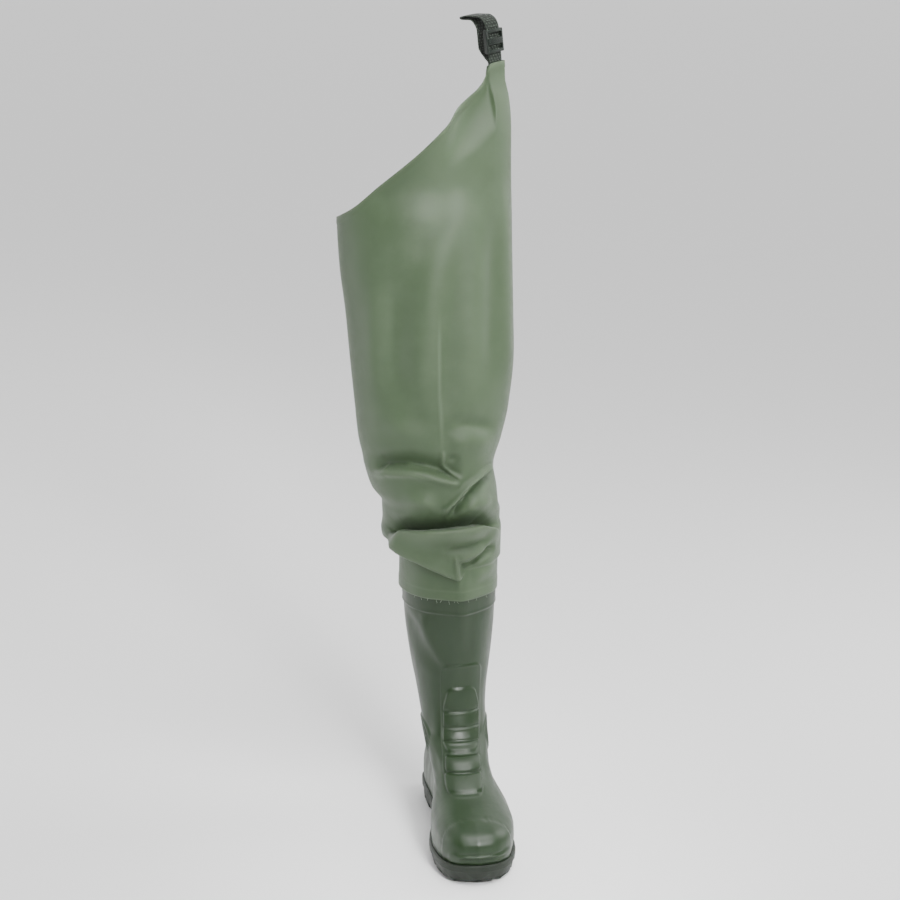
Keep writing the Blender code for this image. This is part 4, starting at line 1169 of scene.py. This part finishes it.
FRONT_FOLDS = table(
    Fold,
    # The deep crevice across the knee: the roll above tucks in behind the cloth below.
    (TROUGH, 5, 20, 24, ((-100, 404), (-85, 417), (-44, 425.5), (-5, 428.5), (22, 427),
                         (56, 409)), 2.8),
    (LAP, 8, -7, 20, ((-100.3, 402), (-84.7, 415.2), (-44.2, 422.5), (-5, 425.5), (22.2, 424),
                      (57.9, 405.5)), 1, 10.5),
    (RIDGE, 11, 6, 24, ((-86, 464), (-56, 462), (-34, 456))),
    (RIDGE, 10, 5, 20, ((-12, 456), (16, 458), (42, 454))),
    # The pull from the inner side to the knee's middle: a soft arc over a crisp roll.
    (TROUGH, 4.2, 13.5, 20, ((-122.1, 492), (-105.6, 506), (-76.1, 511), (-51.7, 507.8),
                             (-28.3, 499), (-5.4, 488.5)), 3.6),
    (RIDGE, 5.6, 5.6, 18, ((-118, 484), (-102, 496), (-74, 500), (-48, 496), (-24, 489),
                           (-6, 483))),
    (RIDGE, 12, 4.5, 30, ((-112, 556), (-80, 556), (-52, 542))),
    # The pressed crease down the middle, its kink and the small pocket beside it.
    (RIDGE, 2.8, 1, 60, ((-40, 720), (-37.5, 600), (-35.5, 572), (-34, 535), (-31.6, 512))),
    (RIDGE, 2.6, 4, 6, ((-33, 530), (-31.8, 511), (-28.3, 506), (-16.1, 496.5), (-5.6, 489.5))),
    (TROUGH, 5, 4.4, 10, ((-29, 516), (-20, 518), (-8, 517))),
    # The diagonal crease from the outer notch, with the hollow on its outer side.
    (RIDGE, 3.4, 7.6, 12, ((42, 499), (20.1, 492.5), (1.8, 482.9), (-12.3, 468.6),
                           (-26.7, 454.2), (-30.6, 443))),
    (TROUGH, 6.6, 10.5, 16, ((46, 490), (28, 485), (9, 475), (-5, 461), (-19, 447), (-23, 438))),
    (TROUGH, 7, 6.8, 30, ((-34, 559), (0.1, 560), (45, 550)), 2),
    (RIDGE, 12, 4.5, 26, ((-28, 538.4), (-0.4, 540), (40, 528))),
    # Below the crevice: a soft roll, a pocket, and the flap that lies over the cuff.
    (RIDGE, 7, 4.5, 26, ((-78, 402), (-44, 411), (-6, 413), (30, 408))),
    (TROUGH, 4, 5.2, 16, ((-34, 396.5), (2, 399.5), (38.5, 403)), 1.6),
    (RIDGE, 6, 3.6, 14, ((-14, 384), (10, 388), (32, 395))),
    (TROUGH, 4, 10, 8, ((-10, 372.5), (10.3, 374), (28, 384.5), (43.9, 391.5)), 1.5),
    (RIDGE, 2.1, 4.2, 12, ((-14.5, 393), (-12.6, 379.2), (-10, 368.1), (-6, 352))),
    (LAP, 7, 8, 10, ((-98.8, 398), (-84, 390), (-60.3, 383), (-35.1, 370.5), (-18.5, 358.5),
                     (-6.3, 350.5)), 1, 10),
    (TROUGH, 5, 5.5, 16, ((-78, 378), (-50, 370), (-26, 358))),
    (RIDGE, 11, 4, 16, ((8, 356), (30, 360), (48, 368))),
    # Long soft swells of the thigh.
    (RIDGE, 13, 4, 70, ((-116, 580), (-118, 660), (-116, 760))),
    (TROUGH, 19, 6, 80, ((-92, 560), (-94, 660), (-92, 790))),
    (RIDGE, 20, 5.5, 80, ((-60, 570), (-56, 680), (-34, 820))),
    (TROUGH, 12, 2.6, 60, ((-30, 560), (-26, 660), (-18, 770))),
    (RIDGE, 14, 3, 80, ((4, 590), (4, 700), (10, 840))),
    (TROUGH, 12, 3.6, 80, ((30, 590), (32, 700), (32, 830))),
    (RIDGE, 10, 3.6, 70, ((56, 590), (54, 720), (46, 880))),
    (TROUGH, 18, 4, 60, ((-80, 740), (-50, 800), (-16, 870))))
BACK_FOLDS = table(
    Fold, (TROUGH, 6, 17, 30, ((-88, 422), (-50, 430), (0, 436), (60, 440)), 2.4),
    (LAP, 8.5, -6, 28, ((-94, 419), (-50, 427), (0, 433), (62, 437)), 1, 10),
    (TROUGH, 5.5, 11, 22, ((-118, 515), (-80, 500), (-20, 494), (46, 508)), 2.6),
    (RIDGE, 8, 6, 20, ((-110, 494), (-60, 478), (0, 474), (44, 486))),
    (TROUGH, 6, 5.5, 16, ((-90, 456), (-50, 459), (10, 453))),
    (TROUGH, 9, 7, 30, ((-124, 570), (-70, 556), (-10, 560)), 1.8),
    (LAP, 7, 7, 16, ((-80, 394), (-40, 386), (10, 384), (50, 396)), 1, 9),
    (RIDGE, 18, 5.5, 60, ((-60, 600), (-56, 700), (-50, 790))),
    (TROUGH, 18, 5, 60, ((10, 600), (14, 700), (18, 820))),
    (RIDGE, 2.4, 0.8, 40, ((-16, 470), (-15, 600), (-14, 860))))


@dataclass
class FabricLeg:
    """The coated leg: from its hem on the boot's cuff to the oblique rim and the tab."""

    boot: MouldedBoot
    wall: float = 0.001
    gap: float = 0.0003
    hem_height: float = 0.325
    crotch_height: float = 0.813
    tab_height: float = 1.009
    thigh_width: float = 0.221
    thigh_depth: float = 0.160
    tab_turn: float = math.radians(32.0)
    tab_half: float = 0.00295
    roundness: float = 0.10
    tab_shut: float = 0.80
    shut_from: Band = (0.60, 0.80)
    shut_to: Band = (0.93, 0.97)
    shut_below: Band = (0.004, 0.070)
    rim_hem: float = 0.009
    rim_hem_step: float = 0.0006
    rim_hem_lines: tuple[float, ...] = (0.86, 0.5, 0.14, 0.0)
    rim_hem_edge: Band = (-0.0012, 0.0006)
    front_lift: float = 0.009
    back_drop: float = 0.026
    back_sweep: float = 0.040
    sweep_lean: float = 1.4
    weld_height: float = 0.013
    weld_step: float = 0.0005
    weld_edge: Band = (-0.0008, 0.0012)
    pale_lines: tuple[Ridge, ...] = (Ridge(0.55, 0.0014), Ridge(0.75, 0.0014), Ridge(0.7, 0.0022))
    chord_slack: float = 0.0003
    fine_turns: Band = (0.045, 0.455)
    turn_pitches: Band = (0.0033, 0.0085)
    pitch_heights: Band = (0.345, 0.57)
    pitches: Point = (0.0021, 0.0016, 0.0065)
    even_rows_from: float = 0.02  # how far below the crotch the rows start to follow the rim
    even_rows: int = 26
    fold_side: Band = (-0.40, 0.05)
    push_free: Band = (-0.004, 0.014)  # above the boot's top, where the cloth may go in
    swell_free: Band = (0.338, 0.352)
    lap_free: Band = (0.345, 0.375)
    crest_free: Band = (0.350, 0.385)
    crease_half: float = 3.0
    crease_narrow: float = 0.7
    lap_lip_highlight: Ridge = Ridge(0.4, 0.5)

    def edges(self, height: np.ndarray) -> list[np.ndarray]:
        """Inner and outer edge and the half depth in front and behind, at heights."""
        boot = self.boot
        skin = boot.cuff_step + self.gap + self.wall + self.chord_slack
        half, deep = boot.shaft_width / 2 + skin, boot.shaft_depth / 2 + skin
        rows = [(boot.centre_x - half, boot.centre_x + half, deep, deep)] * 2
        heights = [self.hem_height, boot.height]
        for leg in LEG_ROWS:
            heights.append(boot.height + leg.rise * (self.crotch_height - boot.height))
            rows.append((-leg.medial * self.thigh_width, leg.lateral * self.thigh_width,
                         leg.front * self.thigh_depth, leg.back * self.thigh_depth))
        for top in TOP_ROWS[1:]:
            heights.append(self.crotch_height + top.rise * (self.tab_height - self.crotch_height))
            depth = top.depth * LEG_ROWS[-1].front * self.thigh_depth
            depth += (1 - top.depth) * (self.tab_half + self.wall)
            rows.append((-LEG_ROWS[-1].medial * self.thigh_width, top.lateral * self.thigh_width,
                         depth, depth))
        return [follow(heights, values, height) for values in zip(*rows)]

    def rim(self, turns: np.ndarray) -> np.ndarray:
        """Height of the rim at turns from the inner side by the front."""
        across = (1 - np.cos(turns * FULL_TURN)) / 2
        rise = follow(column(RIM_ROWS, "across"), column(RIM_ROWS, "rise"), across)
        forward = np.sin(turns * FULL_TURN)
        swing = np.where(forward > 0.0, self.front_lift, self.back_drop)
        swept = np.minimum(forward, 0.0) * np.sin(math.pi * rise ** self.sweep_lean)
        height = self.crotch_height + rise * (self.tab_height - self.crotch_height)
        return height + swing * forward * (1.0 - rise) + self.back_sweep * swept

    def grid(self) -> tuple[np.ndarray, np.ndarray]:
        """The smooth leg.

        Returns:
            Its vertices, rows by columns by 3, and the turn of each column.
        """
        fine = np.linspace(0.0, 1.0, FINE_SAMPLES)
        front = (fine > self.fine_turns[0]) & (fine < self.fine_turns[1])
        turns = spaced(fine, fine, np.where(front, *self.turn_pitches))
        low = np.linspace(self.hem_height, self.crotch_height - self.even_rows_from, FINE_SAMPLES)
        zone = np.searchsorted(self.pitch_heights, low, side="right")
        common = spaced(low, low, np.array(self.pitches)[zone])
        share = np.linspace(0.0, 1.0, self.even_rows + 1)[1:]
        columns = []
        for turn, top in zip(turns, self.rim(turns)):
            rising = common[-1] + share * (top - self.rim_hem - common[-1])
            hem = top - self.rim_hem * np.array(self.rim_hem_lines)
            columns.append(self.column(np.concatenate((common, rising, hem)), float(turn)))
        return np.array(columns).transpose(1, 0, 2), turns

    def column(self, heights: np.ndarray, turn: float) -> np.ndarray:
        """The smooth leg's points up one column.

        Args:
            heights: Their heights.
            turn: The column's turn.

        Returns:
            Heights by 3.
        """
        medial, lateral, front, back = self.edges(heights)
        cosine, sine = math.cos(turn * FULL_TURN), math.sin(turn * FULL_TURN)
        depth = front if sine >= 0.0 else back
        x = (lateral + medial) / 2 - (lateral - medial) / 2 * cosine
        upper = self.tab_height - self.crotch_height
        swing = np.clip((heights - self.crotch_height) / upper, 0.0, 1.0)
        flat = np.clip(swing / TOP_ROWS[-2].rise, 0.0, 1.0) ** 2
        power = 1.0 - (1.0 - self.roundness) * flat
        top = float(self.rim(np.array([turn]))[0])
        rise = (top - self.crotch_height) / upper
        at_tab = soft_step(rise, *self.shut_from) * within(rise, *self.shut_to)
        shut = 1.0 - self.tab_shut * at_tab * within(top - heights, *self.shut_below)
        y = -shut * depth * math.copysign(1.0, sine) * abs(sine) ** power
        lean = self.tab_turn * soft_step(swing, 0.0, 1.0)
        off = x - lateral
        turned_x = lateral + off * np.cos(lean) - y * np.sin(lean)
        turned_y = off * np.sin(lean) + y * np.cos(lean)
        return np.column_stack((turned_x, turned_y + self.boot.centre_y, heights))

    def folds(self, grid: np.ndarray, turns: np.ndarray) -> tuple[np.ndarray, ...]:
        """Lay the folds on the smooth leg.

        Args:
            grid: The smooth leg.
            turns: The turn of each column.

        Returns:
            How far the cloth goes out and up, and how pale it is at each vertex: paler along the
            creases, with a painted highlight along the lips of the laps.
        """
        x, z = grid[..., 0], grid[..., 2]
        out, rise, pale_and_highlight = (np.zeros(x.shape) for _ in range(3))
        forward = np.sin(turns * FULL_TURN)[None, :]
        sides = ((FRONT_FOLDS, forward), (BACK_FOLDS, -forward))
        for fold, facing in ((fold, facing) for folds, facing in sides for fold in folds):
            distance, run, length = path_distance(x / MM, z / MM, fold.path)
            strength = (soft_step(facing, *self.fold_side) * soft_step(run, 0.0, fold.fade)
                        * soft_step(length - run, 0.0, fold.fade))
            u = distance / (fold.half * np.where(distance > 0.0, fold.above, 1.0))
            if fold.kind is LAP:
                swell = u * np.exp((1.0 - u * u) / 2.0) * strength
                out += fold.push * swell
                rise -= fold.drop * swell
                lip = math.copysign(1.0, fold.push)
                # A painted highlight along the lip of the lap.
                pale_and_highlight += self.lap_lip_highlight.at(u - lip) * strength
            elif fold.kind is TROUGH:
                out -= fold.push * bell(u, 1.0) * strength
            else:
                out += fold.push * bell(u, 1.0) * strength
                sharp = min(1.0, self.crease_half / fold.half)
                pale_and_highlight += sharp * bell(u, self.crease_narrow) * strength
        free = soft_step(z - self.boot.height, *self.push_free)
        out *= np.where(out < 0.0, free, soft_step(z, *self.swell_free)) * MM
        rise *= soft_step(z, *self.lap_free) * MM
        return out, rise, np.clip(pale_and_highlight, 0.0, 1.0)

    def build(self) -> Piece:
        """Model and finish the leg."""
        grid, turns = self.grid()
        normal = grid_normals(grid)
        level = normal * (1.0, 1.0, 0.0)
        level /= np.maximum(np.linalg.norm(level, axis=2, keepdims=True), TINY)
        out, rise, pale_and_highlight = self.folds(grid, turns)
        z = grid[..., 2]
        out += self.boot.stored.crest(grid[..., 0], normal[..., 1]) * within(z, *self.crest_free)
        above_hem = z - self.hem_height
        weld = above_hem - self.weld_height
        below_rim = self.rim(turns)[None, :] - z
        out += self.weld_step * within(weld, *self.weld_edge)
        out += self.rim_hem_step * within(below_rim - self.rim_hem, *self.rim_hem_edge)
        for line, off in zip(self.pale_lines, (weld, above_hem, below_rim)):
            pale_and_highlight = np.maximum(pale_and_highlight, line.at(off))
        cloth = grid + level * out[..., None]
        cloth[..., 2] += rise
        girth = np.zeros(z.shape)
        girth[:, 1:] = np.cumsum(np.linalg.norm(np.diff(grid, axis=1), axis=2), axis=1)
        leg = formed_grid("fabric_leg", cloth, np.stack((girth, z), axis=2), pale_and_highlight)
        face_outwards(leg, lambda height: (-0.03, self.boot.centre_y, height))
        # The outer cloth, and the near-black painted shade that the solidify gives to the inner
        # skin.
        for finish in (LEG_CLOTH, LEG_INSIDE_SHADE):
            leg.data.materials.append(finish.material())
        apply_modifier(leg, "SOLIDIFY", thickness=self.wall, offset=-1.0, material_offset=1)
        return hand_over(leg, "leg_cloth", "leg")


@dataclass
class HemThreads:
    """Short loose threads along the leg's cut hem."""

    leg: FabricLeg
    thickness: float = 0.00035
    outward: float = 0.25
    rooted: float = 0.40
    clearance: float = 0.0002
    rows: tuple[ThreadRow, ...] = table(
        ThreadRow, (0.112, 0.0030, -0.5), (0.135, 0.0042, 0.6), (0.160, 0.0026, -0.2),
        (0.188, 0.0046, 0.4), (0.205, 0.0034, -0.7), (0.228, 0.0052, 0.2), (0.247, 0.0030, -0.3),
        (0.252, 0.0048, 0.7), (0.266, 0.0036, -0.5), (0.290, 0.0040, 0.3), (0.322, 0.0030, -0.4),
        (0.362, 0.0036, 0.5), (0.410, 0.0030, -0.2), (0.560, 0.0034, 0.4), (0.640, 0.0030, -0.6),
        (0.742, 0.0042, 0.3), (0.830, 0.0030, -0.3), (0.905, 0.0036, 0.5), (0.040, 0.0034, 0.2))

    def build(self) -> Piece:
        """Model and finish the threads."""
        made = []
        boot = self.leg.boot
        up = Vector((0.0, 0.0, 1.0))
        for row in self.rows:
            root = Vector(self.leg.column(np.array([self.leg.hem_height]), row.turn)[0])
            away = Vector((root.x - boot.centre_x, root.y - boot.centre_y, 0.0)).normalized()
            along = Vector((-away.y, away.x, 0.0))
            way = (along * row.slant - up + away * self.outward).normalized()
            thread = added(bpy.ops.mesh.primitive_cylinder_add, vertices=6,
                           radius=self.thickness / 2, depth=row.length, end_fill_type="TRIFAN")
            place = root + way * row.length * self.rooted + away * self.clearance
            turned = up.rotation_difference(way).to_matrix().to_4x4()
            thread.data.transform(Matrix.Translation(place) @ turned)
            made.append(thread)
        return hand_over(joined("hem_threads", made), "leg_cloth", finish=THREAD)


@dataclass
class BeltLoop:
    """The webbing loop on the tab, and the ladder buckle that holds it."""

    leg: FabricLeg
    cant: float = math.radians(9.0)
    width: float = 0.020
    thickness: float = 0.0016
    gap: float = 0.0003
    seat: float = 0.014
    inset: float = 0.0035
    rise: float = 0.056
    reach: float = 0.047
    opening: float = 0.0165
    steps: int = 130
    strands: int = 12
    sag: float = 0.0003
    shrink: float = 0.97
    edge_from: float = 0.85
    edge_wear: float = 0.6
    edge_round: float = 0.0005
    buckle_width: float = 0.0275
    buckle_height: float = 0.0285
    buckle_depth: float = 0.0068
    buckle_rise: float = 0.026
    buckle_play: float = 0.0008
    channel_play: float = 0.0016
    rail_edge: float = 0.0013

    def directions(self) -> tuple[Vector, Vector, Vector, Vector]:
        """Middle of the tab's top, and the directions along its width, through and up it."""
        turn = self.leg.tab_turn
        level = Vector((math.cos(turn), math.sin(turn), 0.0))
        through = Vector((-math.sin(turn), math.cos(turn), 0.0))
        across = level * math.cos(self.cant) + Vector((0.0, 0.0, math.sin(self.cant)))
        edge = Vector((TOP_ROWS[-1].lateral * self.leg.thigh_width, self.leg.boot.centre_y,
                       self.leg.tab_height))
        middle = edge - across * (self.width / 2 + self.inset)
        return middle, across, through, across.cross(through)

    def path(self) -> np.ndarray:
        """Side view of the webbing's middle line: out of and up from the tab, and its run."""
        half = (self.thickness + self.gap) / 2
        lengths = np.array(((half, 0.0), (self.reach, 0.0), (self.opening, 0.0),
                            (0.0, self.rise), (0.0, self.seat)))
        points = np.array(LOOP_ROWS) @ lengths
        run = run_along(points)
        at = np.linspace(0.0, run[-1], self.steps)
        return np.column_stack((follow(run, points[:, 0], at), follow(run, points[:, 1], at), at))

    def build_webbing(self) -> Piece:
        """Model and finish the webbing."""
        middle, across, through, upward = (np.array(v) for v in self.directions())
        path = self.path()
        places = np.linspace(-0.5, 0.5, self.strands + 1)
        slope = np.gradient(path[:, :2], axis=0)
        slope /= np.linalg.norm(slope, axis=1, keepdims=True)
        side = through * slope[:, 1:] - upward * slope[:, :1]
        sag = self.sag * (1.0 - 4.0 * places ** 2)
        line = middle + path[:, :1] * through + path[:, 1:2] * upward
        grid = (line[:, None] + (across * self.width) * places[None, :, None]
                - side[:, None] * sag[None, :, None])
        flat = np.stack(np.meshgrid(places * self.width, path[:, 2]), axis=2)
        wear_and_highlight = self.edge_wear * (np.abs(places) * 2 > self.edge_from)
        webbing = formed_grid("belt_webbing", grid, flat, np.tile(wear_and_highlight, (len(path), 1)))
        apply_modifier(webbing, "SOLIDIFY", thickness=self.thickness * self.shrink, offset=0.0,
                       use_even_offset=True)
        apply_modifier(webbing, "BEVEL", width=self.edge_round, segments=2,
                       limit_method="ANGLE", angle_limit=math.radians(50))
        return hand_over(webbing, "webbing", "strap", finish=WEBBING, sharp=60)

    def bar(self, centre: Point, size: Point, round_edge: float) -> Piece:
        """One bar of the buckle, in the buckle's own directions: across, up and through."""
        bar = added(bpy.ops.mesh.primitive_cube_add, size=1.0, location=centre, scale=size)
        bpy.ops.object.transform_apply(location=True, rotation=True, scale=True)
        with editing(bar):
            bpy.ops.mesh.bevel(offset=round_edge, segments=4, affect="EDGES")
        return bar

    def build_buckle(self) -> Piece:
        """Model and finish the buckle: two rails, bars in front and behind, a ridged lever."""
        width, height, depth = self.buckle_width, self.buckle_height, self.buckle_depth
        rail = (width - self.width - self.buckle_play) / 2
        channel = self.thickness + self.channel_play
        skin = (depth - channel) / 2
        front = -(channel + skin) / 2
        bars = [self.bar((side * (width - rail) / 2, 0.0, 0.0), (rail, height, depth),
                         self.rail_edge) for side in (-1, 1)]
        bars += [self.bar((0.0, row.up * height, row.side * front - row.proud * skin),
                          (row.width * width, row.height * height, row.depth * skin), row.edge)
                 for row in BUCKLE_BARS]
        buckle = joined("ladder_buckle", bars)
        middle, across, through, upward = self.directions()
        turn = Matrix((across, upward, through)).transposed().to_4x4()
        centre = middle + through * self.path()[0, 0] + upward * self.buckle_rise
        buckle.data.transform(Matrix.Translation(centre) @ turn)
        with editing(buckle):
            bpy.ops.mesh.normals_make_consistent(inside=False)
        return hand_over(buckle, "buckle_plastic", "buckle", finish=BUCKLE_PLASTIC, sharp=35)


@dataclass
class SoleUnit:
    """The moulded outsole and the insole that lies on it."""

    edge: float = 0.0009
    insole_edge: float = 0.0012

    def softened(self, node: str, name: str, width: float) -> Piece:
        """Copy a CAD node, merge its loose triangles and round its edges.

        Args:
            node: The CAD node.
            name: The new piece's name.
            width: How wide its edges are rounded.

        Returns:
            The new piece.
        """
        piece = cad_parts[node].copy()
        piece.data = piece.data.copy()
        piece.parent = None
        piece.matrix_world = Matrix.Identity(4)
        piece.name = piece.data.name = name
        bpy.context.collection.objects.link(piece)
        with editing(piece):
            bpy.ops.mesh.remove_doubles(threshold=MERGE_DISTANCE)
            bpy.ops.mesh.tris_convert_to_quads()
            bpy.ops.mesh.normals_make_consistent(inside=False)
        apply_modifier(piece, "BEVEL", width=width, segments=2, limit_method="ANGLE",
                       angle_limit=math.radians(38), use_clamp_overlap=True)
        piece.data.materials.clear()
        return piece

    def build(self) -> None:
        """Model and finish both."""
        hand_over(self.softened("outsole", "outsole_unit", self.edge), "sole_rubber", "outsole",
                  finish=SOLE_PVC, sharp=40)
        hand_over(self.softened("insole", "insole_board", self.insole_edge), "insole_felt",
                  "insole", finish=INSOLE_FELT, sharp=40)


@dataclass
class Studio:
    """Pale floor, soft lights on both sides and the camera."""

    azimuth: float = math.radians(-8.5)
    distance: float = 2.2055
    camera_height: float = 1.10
    pitch: float = math.radians(15.0)
    turn: float = math.radians(-0.12)
    roll: float = math.radians(1.05)
    focal: float = 69.7
    sensor: float = 36.0
    aim_x: float = -0.0161
    aim_y: float = -0.031
    floor_radius: float = 600.0
    floor_tone: Colour = (0.86, 0.86, 0.86)
    glow_from: float = -0.45
    front_glow: float = 0.10
    back_glow: float = 2.9
    lamps: tuple[Lamp, ...] = table(
        Lamp, ("side_inner", (-1.5, 0.1, 0.30), (0.0, 0.0, 0.15), (0.5, 0.8), 6.0),
        ("side_outer", (1.6, 0.1, 1.4), (0.0, 0.0, 0.7), (0.7, 1.4), 18.0),
        ("overhead", (0.4, -1.2, 2.6), (0.0, -0.1, 0.4), (1.2, 1.0), 66.0),
        ("thigh", (0.6, -2.2, 1.6), (0.0, 0.0, 0.80), (0.8, 0.8), 2.4, 20.0),
        ("toe", (0.30, -1.45, 1.00), (0.0, -0.20, 0.02), (0.4, 0.25), 1.0, 30.0))

    def light(self, lamp: Lamp) -> None:
        """Add a lamp."""
        light = added(bpy.ops.object.light_add, type="AREA", location=lamp.place)
        light.name = lamp.name
        light.data.shape = "RECTANGLE"
        light.data.size, light.data.size_y = lamp.size
        light.data.energy = lamp.power
        light.data.spread = math.radians(lamp.spread)
        way = Vector(lamp.target) - Vector(lamp.place)
        light.rotation_euler = way.to_track_quat("-Z", "Y").to_euler()

    def world(self) -> None:
        """Set a pale world that glows more behind the object than in front of it."""
        world = bpy.context.scene.world or bpy.data.worlds.new("studio")
        bpy.context.scene.world = world
        world.use_nodes = True
        tree = world.node_tree
        backdrop = tree.nodes["Background"]
        backdrop.inputs["Color"].default_value = (1.0, 1.0, 1.0, 1.0)
        way = add_node(tree, "TexCoord", {}, "Generated")
        behind = add_node(tree, "SeparateXYZ", {"Vector": way}, "Y")
        glow = mapped_range(tree, behind, self.glow_from, 1.0, self.front_glow, self.back_glow)
        tree.links.new(glow, backdrop.inputs["Strength"])

    def build(self) -> None:
        """Set the floor, the lights and the camera."""
        floor = added(bpy.ops.mesh.primitive_circle_add, vertices=96, radius=self.floor_radius,
                      fill_type="NGON", location=(0.0, 0.0, 0.0))
        floor.name = "floor"
        floor.data.materials.append(NodeSheet("floor_paper", self.floor_tone, 0.9).material)
        self.world()
        for lamp in self.lamps:
            self.light(lamp)
        place = (self.aim_x + self.distance * math.sin(self.azimuth),
                 self.aim_y - self.distance * math.cos(self.azimuth), self.camera_height)
        camera = added(bpy.ops.object.camera_add, location=place)
        heading = Matrix.Rotation(self.azimuth + self.turn, 3, "Z")
        tilt = Matrix.Rotation(math.pi / 2 - self.pitch, 3, "X")
        camera.rotation_euler = (heading @ tilt @ Matrix.Rotation(self.roll, 3, "Z")).to_euler()
        camera.data.lens = self.focal
        camera.data.sensor_width = self.sensor
        camera.data.dof.use_dof = False
        bpy.context.scene.camera = camera


def main() -> None:
    """Build the wader's visible pieces round the frame, then the studio."""
    logging.basicConfig(level=logging.INFO, format="%(message)s")
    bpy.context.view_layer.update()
    boot = MouldedBoot()
    boot.build()
    leg = FabricLeg(boot)
    leg.build()
    HemThreads(leg).build()
    loop = BeltLoop(leg)
    loop.build_webbing()
    loop.build_buckle()
    SoleUnit().build()
    Studio().build()


if __name__ == "__main__":
    main()
